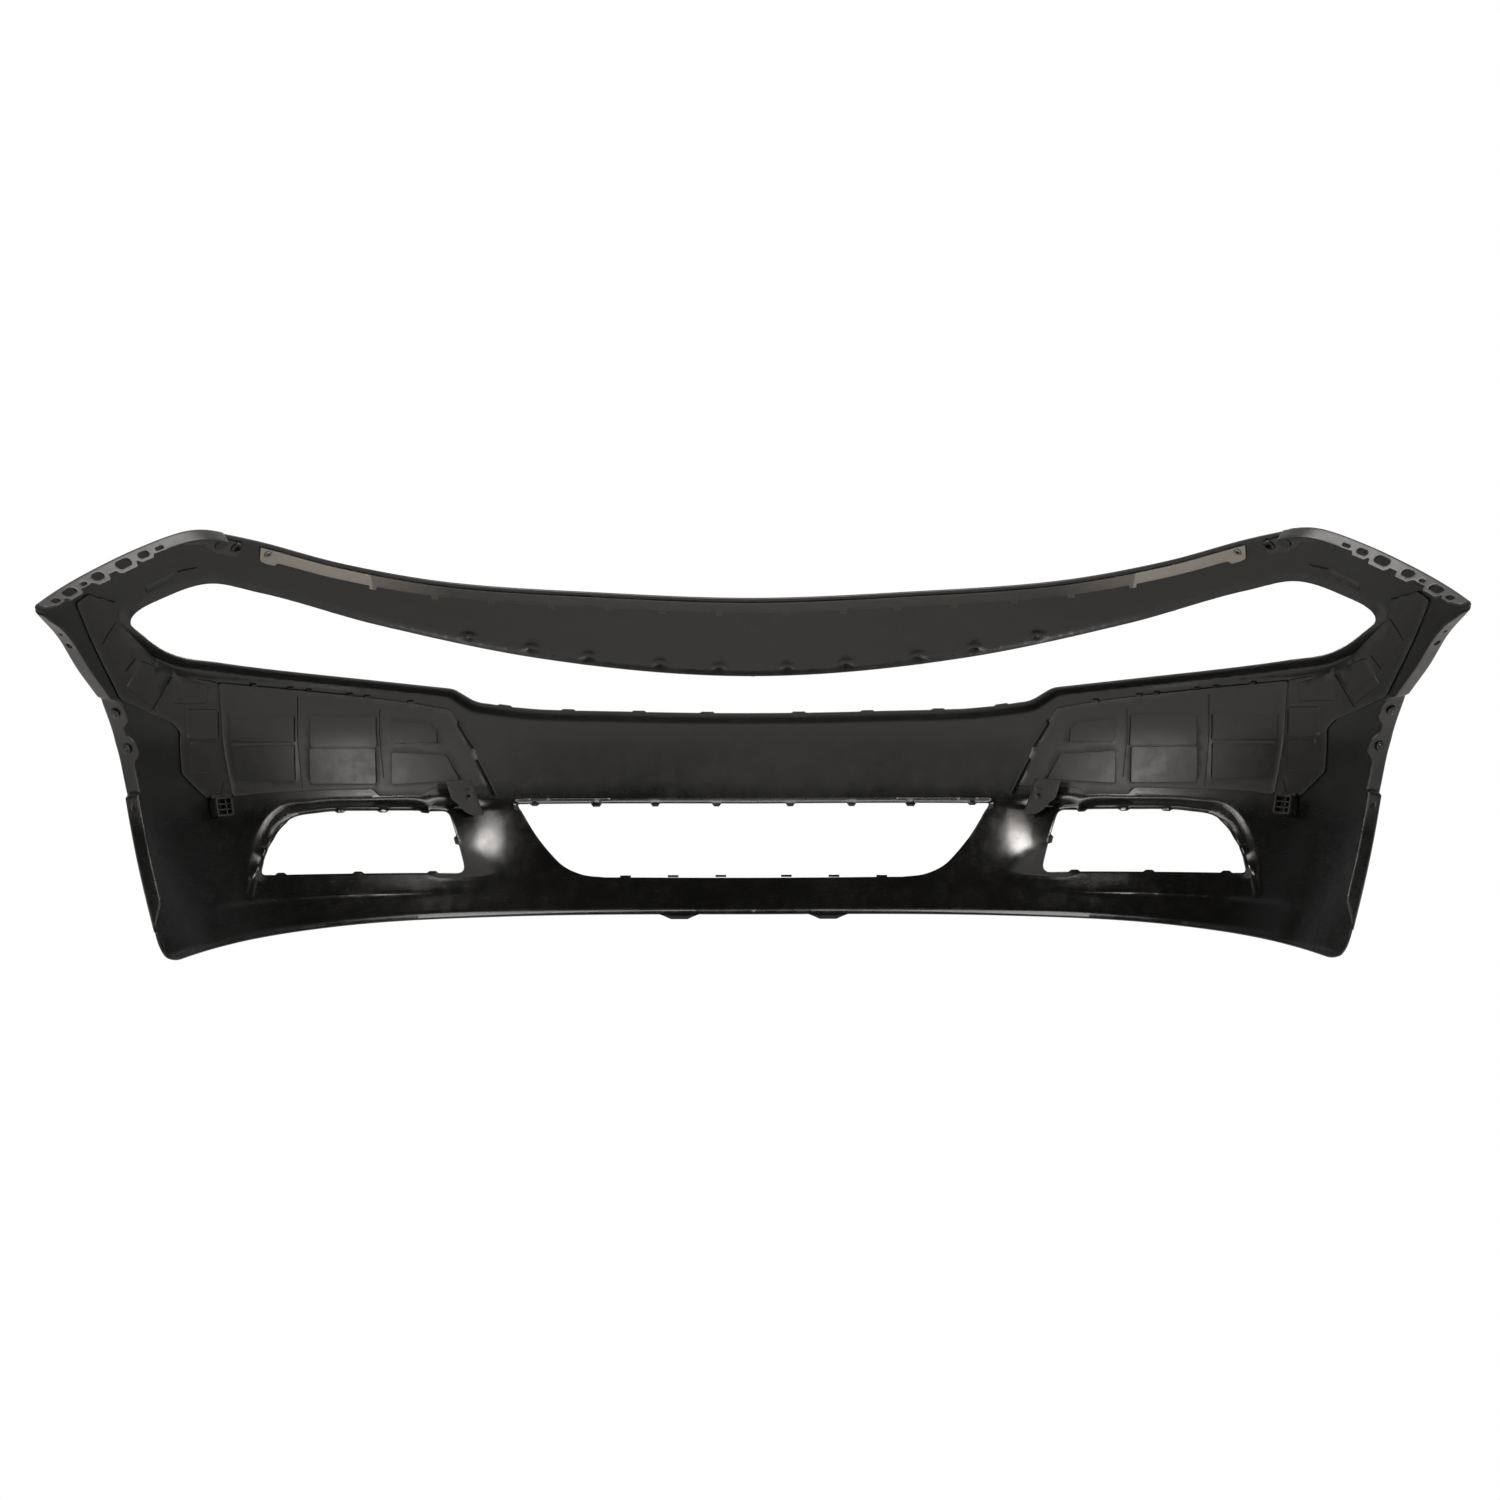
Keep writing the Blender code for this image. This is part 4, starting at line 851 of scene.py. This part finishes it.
def moulded(name, colour, roughness, grain=0.00004, haze=0.5, wear=0.25, flow=0.25, middle=None, satin=0.0):
    """Moulded plastic: fine grain, flow marks, dusty haze, handling scratches and paler worn edges.

    middle is the colour of the strip between its two pale ends, which are partly a painted highlight; the
    middle also pales towards them with a painted highlight. satin is how much rougher the upper part is.
    """
    n = Nodes(bpy.data.materials.new(name))
    cloud = n.noise(3.5, 4.0, 0.55)
    streaks = n.noise(16.0, 3.0, 0.6, stretch=(1.0, 1.0, 0.12))
    dust = n.noise(45.0, 5.0, 0.7)
    grit = n.noise(1500.0, 2.0, 0.6)
    scratch = n.noise(60.0, 2.0, 0.4, stretch=(1.0, 1.0, 26.0))
    shade = n.total(n.spread(cloud, 0.3, 0.7, 0.0, 0.6), n.spread(streaks, 0.35, 0.65, 0.0, 0.4))
    pale = tuple(c * (1 + haze) for c in colour)
    body = n.mixed(shade, colour, pale)
    if middle:
        # The strip's pale ends are partly its own two tones meeting at a joint and partly a painted
        # highlight; the middle pales towards them with a painted highlight.
        across = n.add("ShaderNodeSeparateXYZ", {0: n.place}).outputs[0]
        aside = n.add("ShaderNodeMath", {0: across}, operation="ABSOLUTE").outputs[0]
        joint = surface(np.array([STRIP_JOINT_AT]))[0, 0]
        pale_end_and_sheen = n.spread(aside, joint - 0.001, joint + 0.001, 0.0, 1.0)
        painted_sheen = n.mixed(n.spread(aside, joint - STRIP_SHEEN_FADE, joint, 0.0, 0.40), middle, body)
        body = n.mixed(pale_end_and_sheen, painted_sheen, body)
    dusty = n.mixed(n.spread(dust, 0.55, 0.80, 0.0, 0.03 * haze), body, (0.16, 0.15, 0.135))
    edge = n.add("ShaderNodeNewGeometry").outputs["Pointiness"]
    worn = n.spread(edge, 0.52, 0.62, 0.0, wear)
    n.set(Base_Color=n.mixed(worn, dusty, tuple(min(1.0, 3 * c + 0.004) for c in colour)))
    clouded = n.spread(cloud, 0.3, 0.7, roughness - 0.05, roughness + 0.07)
    rough = n.total(clouded, n.spread(dust, 0.4, 0.7, -0.02, 0.06))
    rough = n.total(rough, n.spread(scratch, 0.66, 0.74, 0.0, 0.10))
    if satin:
        height = n.add("ShaderNodeSeparateXYZ", {0: n.place}).outputs[2]
        rough = n.total(rough, n.spread(height, *SATIN_Z, 0.0, satin))
    n.set(Roughness=rough)
    coarse = n.bump(streaks, 0.0009 * flow)
    fine = n.bump(grit, grain, 0.8, coarse)
    n.set(Normal=n.bump(scratch, 0.00002, 0.5, fine))
    n.set(IOR=1.49)
    return n.owner


def dull_metal(name):
    """Plain rivet metal: turning marks, dull spots and darker grime."""
    n = Nodes(bpy.data.materials.new(name))
    spots = n.noise(420.0, 4.0, 0.6)
    brushed = n.noise(900.0, 2.0, 0.5, stretch=(1.0, 1.0, 8.0))
    n.set(Base_Color=n.mixed(n.spread(spots, 0.4, 0.7, 0.0, 0.8), (0.20, 0.19, 0.18), (0.09, 0.085, 0.08)))
    n.set(Metallic=1.0, Roughness=n.spread(spots, 0.3, 0.7, 0.42, 0.58))
    n.set(Normal=n.bump(brushed, 0.00003, 0.6))
    return n.owner


# ---------------------------------------------------------------- the skin
SIDES = {"left": -1, "right": 1}
RIVET_HOLE = 0.0040  # radii of the holes for the rivets and for the retainers' sleeves
SLEEVE_HOLE = 0.0044
RETAINER_DEPTH = 0.018  # from a flange's fold to its retainers, its other holes and its slots
ARCH_HOLE_DEPTH = 0.012
SLOT_DEPTH = 0.014
SKIN_RUNS = [
    (0, LOWER_EDGE, tabs(FOOT_T, FOOT)), (ARCH_CORNER, ARCH_LOWER), (0, ARCH_STEP_DOWN), (0, ARCH_MIDDLE),
    (0, ARCH_STEP_UP), (0, ARCH_UPPER), (TIP_CORNER, FENDER_EDGE), (BONNET_CORNER, BONNET_EDGE),
    (0, [BONNET_EDGE[-1], LAMP_TOP[0]]), (0, LAMP_TOP), (LAMP_CORNER, LAMP_BOTTOM),
    (STEP_CORNER, GRILLE_STEP), (GRILLE_CORNER, GRILLE_BOTTOM, tabs(BUMPS_T, BUMP)),
    (0, [GRILLE_BOTTOM[-1], INTAKE_TOP[0]]), (0, INTAKE_TOP, tabs(INTAKE_TABS_T, INTAKE_TAB)),
    (INTAKE_CORNER, INTAKE_SIDE), (0, INTAKE_BOTTOM), (0, [INTAKE_BOTTOM[-1], LOWER_EDGE[0]]),
]
SKIN_OUTLINE, SPANS = rounded(SKIN_RUNS)
SKIN_OUTLINE = SKIN_OUTLINE[:-1]
ARCH_LINE = SKIN_OUTLINE[SPANS[1].start + 1 : SPANS[5].stop]
FENDER_LINE = SKIN_OUTLINE[SPANS[6].start : SPANS[7].start + 3]
FOG_GUIDES = ((0, 0.003), (0, 0.008), (1, 0), (1, -0.004))  # shares of the pocket's wall and distances on
GUIDES = [  # lines that the skin's triangles follow, each with distances to its left
    (CREASE_LINE, 0), (INTAKE_TOP_LINE, 0.003, 0.008), (BAND_LINE, 0.004, 0.0085),
    (BEAD_LINE, 0, 0.003, -0.003, -0.006), (LAMP_EDGE, -0.005, -0.018), (GRILLE_EDGE, -0.023),
    *((line, 0, -0.0065, -0.0035, 0.0035, 0.0065) for line in ROLL_LINES),
]
BUSY = [  # lines near which the skin's triangles are half as large, and how near
    (FOG_LINE, 0.090), (LEDGE_LINE, 0.030), (INTAKE_LINE, 0.022), (BAND_LINE, 0.024),
    (CREASE_LINE, 0.012), (LIP_LINE, 0.014),
]


def arch_distance(z):
    """How far along the arch's fold line a height is."""
    return float(np.interp(z, ARCH_LINE[:, 1], lengths(ARCH_LINE)))


def arch_width(s):
    """Width of the arch flange: an ear round each retainer, and cut away at its tip."""
    ears = [1 - ramp(abs(s - arch_distance(z)), *EAR_END) for z in RETAINER_Z.values()]
    tip = ARCH_TIP_SHARE + (1 - ARCH_TIP_SHARE) * ramp(lengths(ARCH_LINE)[-1] - s, 0, ARCH_TIP)
    foot = ramp(s, 0, ARCH_FOOT)
    return FOLD + (ARCH_FLANGE - FOLD) * tip * foot + EAR * float(max(ears)) + FLANGE_EDGE


def fender_width(s):
    """Width of the fender flange: it is scalloped, with a lobe round each slot."""
    share, gain, between = LOBE
    lobes = [
        float((share + gain * width) * (1 - ramp(abs(s - at) - length / 2, *LOBE_END)))
        for at, length, width in FENDER_SLOTS
    ]
    share = min(max(between, *lobes), 1.0)
    return FOLD + (FENDER_FLANGE - FOLD) * share * ramp(s, *FENDER_FOOT) + FLANGE_EDGE


def fog_ring(share, beyond=0.0):
    """A line round the fog lamp opening: a share of the way across the pocket's wall, and a distance on."""
    start, width = fog_wall(lengths(FOG_LINE))
    distance = beyond + share * (start + width)
    return walked(FOG_LINE - closed(inward(FOG_PLAIN)) * distance[:, None])


def busy_skin(p):
    return np.any([gap_to(line, p) < reach for line, reach in BUSY], axis=0)


def make_skin(finish):
    guides = [fog_ring(*place) for place in FOG_GUIDES]
    guides += [offset_points(line, aside) for line, *offsets in GUIDES for aside in offsets]
    holes = [FOG_LOOP, ring(RIVET_AT, RIVET_HOLE)]
    points, triangles = filled(SKIN_OUTLINE, holes, guides, CELL, busy_skin)
    patches = [(surface(points), triangles)]
    holes = [ring((arch_distance(z), FOLD + ARCH_HOLE_DEPTH), radius) for z, radius in ARCH_HOLES_Z]
    holes += [ring((arch_distance(z), FOLD + RETAINER_DEPTH), SLEEVE_HOLE) for z in RETAINER_Z.values()]
    slots = [slot_outline((s, FOLD + SLOT_DEPTH), length, width) for s, length, width in FENDER_SLOTS]
    for line, width, cut in ((ARCH_LINE, arch_width, holes), (FENDER_LINE, fender_width, slots)):
        flat, triangles = flange_blank(line, width, cut)
        patches.append((turned(line, flat), triangles))
    meshes = [sheet(patches, SKIN, SKIN_ROUND, mirrored=True)]
    for side in SIDES.values():
        meshes += skin_details(side)
    return piece("bumper_skin", meshes, finish, "fascia_skin")


def inner_face(side, at, inset):
    """A placement on the inner side, its local Z pointing away from the skin's face."""
    p = np.array([[side * at[0], at[1]]])
    return axes_at(surface(p, inset)[0], -outward(p)[0])


COLLAR = [(0.0062, -0.0004), (0.0062, 0.0022), (0.0070, 0.0026), (0.0088, 0.0022), (0.0096, -0.0004)]
DOME = [
    (0, 0.0016), (0.0066, 0.0016), (0.0074, 0.0022), (0.0086, 0.0022), (0.0094, 0.0012), (0.0100, -0.0004),
    (0, -0.0004),
]
PAD_WALL, PAD_SUNK = 0.0029, 0.0003  # the corner pad's wall, and how far it is sunk into the skin
PAD_SEAT = SKIN + 0.0024  # inset of the collar and the dome, whose feet are sunk into the pad's top
CORNER_BARS = [  # raised bars on the skin below the corner pad: path, width and height
    ([(0.868, 0.5440), (0.900, 0.5380)], 0.0022, 0.0018),
    ([(0.905, 0.5330), (0.957, 0.5130)], 0.0110, 0.0012),
]
SHELF_Z, SHELF_HALF, SHELF_WIDTH = 0.0655, 0.009, 0.004  # shelves along the lower intake's lower edge
SHELF_DEPTH = (0.006, 0.0065)  # how far ahead of the inner face they start, and their rise from there


def skin_details(side):
    """Small raised shapes moulded onto the inner face of the skin, on one side."""
    shapes = ((COLLAR, PAD_HOLE), (DOME, PAD_DOME))
    made = [lathe(profile, inner_face(side, at, PAD_SEAT)) for profile, at in shapes]
    for path, width, height in CORNER_BARS:
        made += bars(side, [path], SKIN, width, height)
    below, rise = SHELF_DEPTH
    shelves = level_paths([(t, SHELF_Z) for t in INTAKE_SHELVES_T], SHELF_HALF)
    return made + bars(side, shelves, SKIN - below, SHELF_WIDTH, rise)


# ---------------------------------------------------------------- supports, strip, bracket and socket
SUPPORT_TOP = SUPPORT_INSET + SUPPORT_WALL
RAISED = 0.0010  # rise of the squares on the corner support
RAISED_SLOPE, RAISED_GUIDE = 0.0011, 0.0012  # width of their sloping sides, and of the guides beside them
SUPPORT_RIBS = [
    [(0.989, 0.417), (1.012, 0.399)], [(0.925, 0.389), (0.967, 0.343)], [(1.020, 0.470), (1.052, 0.440)],
    [(0.853, 0.231), (0.864, 0.212)], [(0.847, 0.335), (0.848, 0.298)],
]
SUPPORT_RIB = (0.0018, 0.0015)  # width and height
ADHESIVE = [[(0.461, 0.308), (0.440, 0.267)], [(0.436, 0.249), (0.414, 0.194)]]  # beads beside the lattice
ADHESIVE_RIB = (0.0040, 0.0110)
LATTICE_RIBS = [[(0.713, 0.354), (0.7165, 0.290), (0.722, 0.214)], [(0.5835, 0.330), (0.588, 0.224)]]
LATTICE_RIB = (0.0024, 0.0016)
LATTICE_TAB = (0.0055, 0.0036)
LATTICE_TAB_HALF, LATTICE_TAB_OUT = 0.0045, 0.0015  # half length, and how far past the lattice's edge


def flip(points, side):
    return points * [side, 1]


def make_corner_pad(side_name, side, finish):
    """The raised plate on the skin at its top corner."""
    outline = polygon(CORNER_PAD, SMALL_CORNER, FINE_EDGE)
    points, triangles = filled(outline, [ring(PAD_HOLE, PAD_HOLE_RADIUS)], (), SMALL_CELL)
    mesh = sheet([(surface(flip(points, side), SKIN - PAD_SUNK), triangles)], PAD_WALL, SMALL_ROUND)
    return piece(f"corner_pad_{side_name}", [mesh], finish)


def make_support(side_name, side, finish):
    """The corner support, with raised squares that have sloping sides."""
    loops = [polygon(corners, SUPPORT_CORNER) for corners in PADS]
    guides = [closed(loop + aside * inward(loop)) for aside in (0, RAISED_GUIDE) for loop in loops]
    points, triangles = filled(polygon(SUPPORT, SUPPORT_CORNER), (), guides)
    depths = [np.where(inside(loop, points), gap_to(closed(loop), points), 0.0) for loop in loops]
    rise = np.max([RAISED * np.clip(depth / RAISED_SLOPE, 0, 1) for depth in depths], axis=0)
    blank = flip(points, side)
    placed = surface(blank, SUPPORT_INSET) - outward(blank) * rise[:, None]
    meshes = [sheet([(placed, triangles)], SUPPORT_WALL, SUPPORT_ROUND)]
    meshes += bars(side, SUPPORT_RIBS, SUPPORT_TOP, *SUPPORT_RIB)
    node = f"headlamp_support_{side_name}"
    return piece(f"corner_support_{side_name}", meshes, finish, node)


def make_lattice(side_name, side, finish):
    """The lattice with its windows, ribs, small tabs and the adhesive beside its inner end."""
    windows = [polygon(corners, WINDOW_CORNER) for corners in WINDOWS]
    points, triangles = filled(polygon(LATTICE, SUPPORT_CORNER), windows)
    meshes = [sheet([(surface(flip(points, side), SUPPORT_INSET), triangles)], SUPPORT_WALL, SUPPORT_ROUND)]
    meshes += bars(side, ADHESIVE, SKIN, *ADHESIVE_RIB)
    meshes += bars(side, LATTICE_RIBS, SUPPORT_TOP, *LATTICE_RIB)
    edge_t, edge_z = np.array(LATTICE[4::-1]).T
    middles = [(t, np.interp(t, edge_t, edge_z) + LATTICE_TAB_OUT) for t in LATTICE_TABS_T]
    meshes += bars(side, level_paths(middles, LATTICE_TAB_HALF), SUPPORT_INSET, *LATTICE_TAB)
    node = f"lattice_reinforcement_{side_name}"
    return piece(f"window_lattice_{side_name}", meshes, finish, node)


def strip_outline():
    """Half of the strip, which follows the bonnet edge, with a row of small tabs below it."""
    edge = smooth_curve(BONNET_EDGE[::-1])
    edge = walked(edge[edge[:, 0] <= STRIP_END_T])
    drop = STRIP_WIDTH + STRIP_END_DROP * ramp(edge[:, 0], *STRIP_END_FROM_T)
    upper = offset_points(edge, -STRIP_MARGIN)
    upper[0, 0] = 0.0
    lower = upper - drop[:, None] * [0, 1]
    lower = tabbed(lower, tabs(STRIP_TABS_T, STRIP_TAB))
    first, last = lower[-1] - [STRIP_CORNER, 0], lower[-1] + [0, STRIP_CORNER]
    corner = corner_arc(first, first + [STRIP_CORNER, 0], last, ARC)
    lower = lower[lower[:, 0] < first[0] - 0.001]
    return np.concatenate([lower, [first], corner, [last], upper[::-1]])


def make_strip(finish):
    points, triangles = filled(strip_outline(), [ring(RIVET_AT, RIVET_HOLE)], (), SMALL_CELL)
    patch = (surface(points, STRIP_INSET), triangles)
    mesh = sheet([patch], STRIP_WALL, SUPPORT_ROUND, mirrored=True)
    return piece("retainer_strip", [mesh], finish, "upper_retainer_strip")


BRACKET = [
    (0.034, 0.023), (0.026, -0.005), (0.017, -0.011), (0.006, -0.023), (-0.005, -0.029),
    (-0.025, -0.028), (-0.020, -0.019), (-0.011, 0.005), (-0.005, 0.026),
]
BRACKET_WALL = 0.003
BRACKET_HOLE, BRACKET_SLOT = 0.0035, ((0, 0.0115), 0.009, 0.004)  # radius; place, length and width
BRACKET_WEBS = [((0.0125, 0.0150), (0.0024, 0.0180)), ((0.0220, 0.0190), (0.0170, 0.0024))]  # place, size
SOCKET_WALLS = [  # size and place of each wall and snap bar, and last of the neck
    ((0.030, 0.003, 0.014), (0, 0.0125, 0)), ((0.030, 0.003, 0.014), (0, -0.0125, 0)),
    ((0.003, 0.028, 0.014), (0.0135, 0, 0)), ((0.003, 0.028, 0.014), (-0.0135, 0, 0)),
    ((0.026, 0.0022, 0.010), (0, 0.004, 0)), ((0.026, 0.0022, 0.010), (0, -0.004, 0)),
    ((0.0022, 0.024, 0.010), (0.004, 0, 0)), ((0.024, 0.010, 0.006), (0, 0.014, -0.008)),
]


def make_bracket(side_name, side, finish):
    """A plate with a hole and a slot, and two webs back to the lattice."""
    node = f"inner_mount_bracket_{side_name}"
    low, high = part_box(node)
    x, z = (np.min(BRACKET, axis=0) + np.max(BRACKET, axis=0)) / 2
    middle = centre(node)
    origin = (middle.x - side * x, low.y + BRACKET_WALL / 2, middle.z - z)
    place = axes_at(origin, (0, -1, 0))
    outline = polygon([(side * x, y) for x, y in BRACKET], SMALL_CORNER, FINE_EDGE)
    holes = [ring((0, 0), BRACKET_HOLE), slot_outline(*BRACKET_SLOT)]
    points, triangles = filled(outline, holes, cell=CELL / 2)
    flat = np.insert(points, 2, BRACKET_WALL / 2, axis=1)
    meshes = [sheet([(flat, triangles)], BRACKET_WALL, SMALL_ROUND, facing=(0, 0, 1), place=place)]
    length = high.y - low.y - BRACKET_WALL / 2
    for (x, y), size in BRACKET_WEBS:
        meshes.append(block((*size, length), place @ Matrix.Translation((side * x, y, -length / 2))))
    return piece(f"mount_bracket_{side_name}", meshes, finish, node)


def make_socket(side_name, side, finish):
    """A clip socket: four walls round an opening, with snap bars, on a neck from the support."""
    node = f"lower_clip_socket_{side_name}"
    place = axes_at(centre(node), inner_face(side, SOCKET_AT, 0).col[2].xyz)
    meshes = [block(size, place @ Matrix.Translation(at)) for size, at in SOCKET_WALLS]
    return piece(f"clip_socket_{side_name}", meshes, finish, node)


# ---------------------------------------------------------------- rivets, retainers and pins
# Profiles are (radius, height) over the head's seat.
RIVET = [
    (0.0022, 0.0077), (0.0026, 0.0081), (0.0034, 0.0082), (0.0047, 0.0079), (0.0056, 0.0072),
    (0.0058, 0.0066), (0.0058, 0.0064), (0.0033, 0.0064), (0.0033, -0.0003), (0.0050, -0.0003),
    (0.0052, -0.0007), (0.0044, -0.0012), (0.0026, -0.0013), (0.0022, -0.0010),
]
SLEEVE = [
    (0.0043, 0.0019), (0.0047, 0.0023), (0.0060, 0.0023), (0.0067, 0.0020), (0.0070, 0.0014),
    (0.0070, 0.0003), (0.0034, 0.0003), (0.0034, -0.0050), (0.0042, -0.0062), (0.0038, -0.0085),
    (0.0030, -0.0110), (0.0026, -0.0110), (0.0026, 0.0011), (0.0043, 0.0011),
]
PIN = [
    (0, 0.0027), (0.0014, 0.0027), (0.0017, 0.0024), (0.0021, 0.0024), (0.0024, 0.0026), (0.0030, 0.0025),
    (0.0036, 0.0022), (0.0038, 0.0018), (0.0038, 0.0014), (0.0022, 0.0014), (0.0022, -0.0095),
    (0.0019, -0.0103), (0.0012, -0.0115), (0, -0.0115),
]
RIVET_TOP, SLEEVE_TOP, PIN_TOP = 0.0077, 0.0023, 0.0027  # heights that meet the CAD nodes' highest points
SPLIT, SPLIT_AT = (0.020, 0.0014, 0.0090), (0, 0, -0.0085)  # size and place of the cut in the sleeve
SPLIT_ROUND = 0.0002


def make_rivet(side_name, side, finish):
    """A tubular rivet through the end of the strip, its head inside and its tail rolled over outside."""
    node = f"strip_end_rivet_{side_name}"
    axis = inner_face(side, RIVET_AT, 0).col[2].xyz
    mesh = lathe(RIVET, standing(node, axis, RIVET_TOP))
    return piece(f"strip_rivet_{side_name}", [mesh], finish, node)


def make_retainer(level, side_name, axis, finish):
    """The split sleeve of a push-in retainer: a round head with a raised rim, and a split shank."""
    node = f"arch_retainer_{level}_{side_name}"
    place = standing(node, axis, SLEEVE_TOP)
    head = add_object("head", lathe(SLEEVE, place))
    cutter = add_object("split", block(SPLIT, place @ Matrix.Translation(SPLIT_AT), SPLIT_ROUND))
    head.modifiers.new("split", "BOOLEAN").object = cutter
    mesh = evaluated(head)
    bpy.data.objects.remove(cutter, do_unlink=True)
    return piece(f"push_retainer_{level}_{side_name}", [mesh], finish, node)


def make_pin(level, side_name, axis, finish):
    """The centre pin of a push-in retainer: a domed head with a pry groove, and a pointed shank."""
    node = f"arch_pin_{level}_{side_name}"
    mesh = lathe(PIN, standing(node, axis, PIN_TOP))
    body = f"pin_{level}_{side_name}"
    return piece(f"retainer_pin_{level}_{side_name}", [mesh], finish, node, body)


# ---------------------------------------------------------------- floor, light and camera
WHITE = (1.0, 1.0, 1.0, 1.0)
DARK_SURROUND = 0.02
LIT_SURROUND = 0.75
LIT_FROM = 0.6  # the surround is fully lit where its direction's share ahead is more than this
FLOOR_SHADE = (0.70, 0.70, 0.70, 1.0)
FLOOR_REACH, FLOOR_DROP = 40.0, 0.0005
LAMP_COLOUR = (1.0, 0.975, 0.94)
SOFTBOXES = [  # name, place, aim, width, height and power
    ("key_right", (2.6, -3.0, 0.95), (0, 0, 0.25), 0.8, 0.8, 60),
    ("key_left", (-2.6, -3.0, 0.95), (0, 0, 0.25), 0.8, 0.8, 60),
    ("top", (0, -0.6, 3.0), (0, -0.3, 0.0), 2.6, 1.8, 110),
    ("front", (0.4, 3.6, 1.9), (0, 0, 0.3), 2.4, 1.2, 60),
]
SENSOR, LENS = 36.0, 53.54  # millimetres
SHIFT = (-0.002, -0.0993)  # of the picture, as shares of its width
CAMERA_AT = (0.0, NOSE_Y - 3.505, 0.494)
CAMERA_ROLL = math.radians(0.13)


def seen_as(nodes, output, plain, lit):
    """Ends a stage's nodes: the camera sees the plain shader, and all other light meets the lit one."""
    seen = nodes.add("ShaderNodeLightPath").outputs["Is Camera Ray"]
    mix = nodes.add("ShaderNodeMixShader", {0: seen, 1: lit.outputs[0], 2: plain.outputs[0]})
    nodes.add(output, {0: mix.outputs[0]})


def make_floor():
    n = Nodes(bpy.data.materials.new("stage"), stage=True)
    plain = n.add("ShaderNodeEmission", {"Color": WHITE, "Strength": 1.0})
    seen_as(n, "ShaderNodeOutputMaterial", plain, n.add("ShaderNodeBsdfDiffuse", {"Color": FLOOR_SHADE}))
    mesh = bpy.data.meshes.new("floor")
    corners = ((-1, -1), (1, -1), (1, 1), (-1, 1))
    level = LOW.z - FLOOR_DROP
    mesh.from_pydata([(x * FLOOR_REACH, y * FLOOR_REACH, level) for x, y in corners], [], [(0, 1, 2, 3)])
    mesh.materials.append(n.owner)
    add_object("floor", mesh)


def make_world():
    """A white surround for the camera. For other light it is white ahead of the car and dark behind it."""
    world = bpy.data.worlds.new("surround")
    bpy.context.scene.world = world
    n = Nodes(world, stage=True)
    way = n.add("ShaderNodeTexCoord").outputs["Generated"]
    ahead = n.add("ShaderNodeSeparateXYZ", {0: way}).outputs["Y"]
    strength = n.spread(ahead, 0.0, LIT_FROM, DARK_SURROUND, LIT_SURROUND)
    lighting = n.add("ShaderNodeBackground", {"Color": WHITE, "Strength": strength})
    seen_as(n, "ShaderNodeOutputWorld", n.add("ShaderNodeBackground", {"Color": WHITE}), lighting)


def softbox(name, place, aim, width, height, power):
    light = bpy.data.lights.new(name, "AREA")
    light.shape = "RECTANGLE"
    light.size = width
    light.size_y = height
    light.energy = power
    light.color = LAMP_COLOUR
    obj = add_object(name, light)
    obj.location = place
    obj.rotation_euler = (Vector(aim) - Vector(place)).to_track_quat("-Z", "Y").to_euler()


def make_camera():
    data = bpy.data.cameras.new("camera")
    data.sensor_width = SENSOR
    data.lens = LENS
    data.shift_x, data.shift_y = SHIFT
    camera = add_object("camera", data)
    camera.location = CAMERA_AT
    camera.rotation_euler = (HALF_TURN / 2, CAMERA_ROLL, 0.0)
    bpy.context.scene.camera = camera


# ---------------------------------------------------------------- the scene
SKIN_BLACK = moulded("skin_finish", (0.0024, 0.0023, 0.0022), 0.17, 0.00001, 0.4, 0.15, satin=0.20)
SUPPORT_BLACK = moulded("support_finish", (0.0040, 0.0038, 0.0036), 0.42, haze=0.6, wear=0.2)
PAD_BLACK = moulded("pad_finish", (0.0140, 0.0135, 0.0130), 0.42, haze=0.6, wear=0.2)
# The strip's pale ends, and the paling of its middle towards them, are partly a painted highlight.
STRIP_GREY_AND_SHEEN = moulded(
    "strip_finish_and_sheen", (0.20, 0.182, 0.160), 0.50, haze=0.1, wear=0.1, middle=(0.020, 0.018, 0.016)
)
CLIP_BLACK = moulded("clip_finish", (0.0060, 0.0060, 0.0060), 0.25, 0.00001, 0.3, 0.2, flow=0.0)
RIVET_METAL = dull_metal("rivet_finish")

joint_axes = {joint["child"]: joint["axis"] for joint in frame["joints"]}
make_skin(SKIN_BLACK)
make_strip(STRIP_GREY_AND_SHEEN)
for side_name, side in SIDES.items():
    make_corner_pad(side_name, side, PAD_BLACK)
    make_support(side_name, side, SUPPORT_BLACK)
    make_lattice(side_name, side, SUPPORT_BLACK)
    make_bracket(side_name, side, SUPPORT_BLACK)
    make_socket(side_name, side, SUPPORT_BLACK)
    make_rivet(side_name, side, RIVET_METAL)
    for level in RETAINER_Z:
        axis = joint_axes[f"pin_{level}_{side_name}"]
        make_retainer(level, side_name, axis, CLIP_BLACK)
        make_pin(level, side_name, axis, CLIP_BLACK)

make_floor()
make_world()
for settings in SOFTBOXES:
    softbox(*settings)
make_camera()

bpy.context.scene.view_settings.view_transform = "Standard"
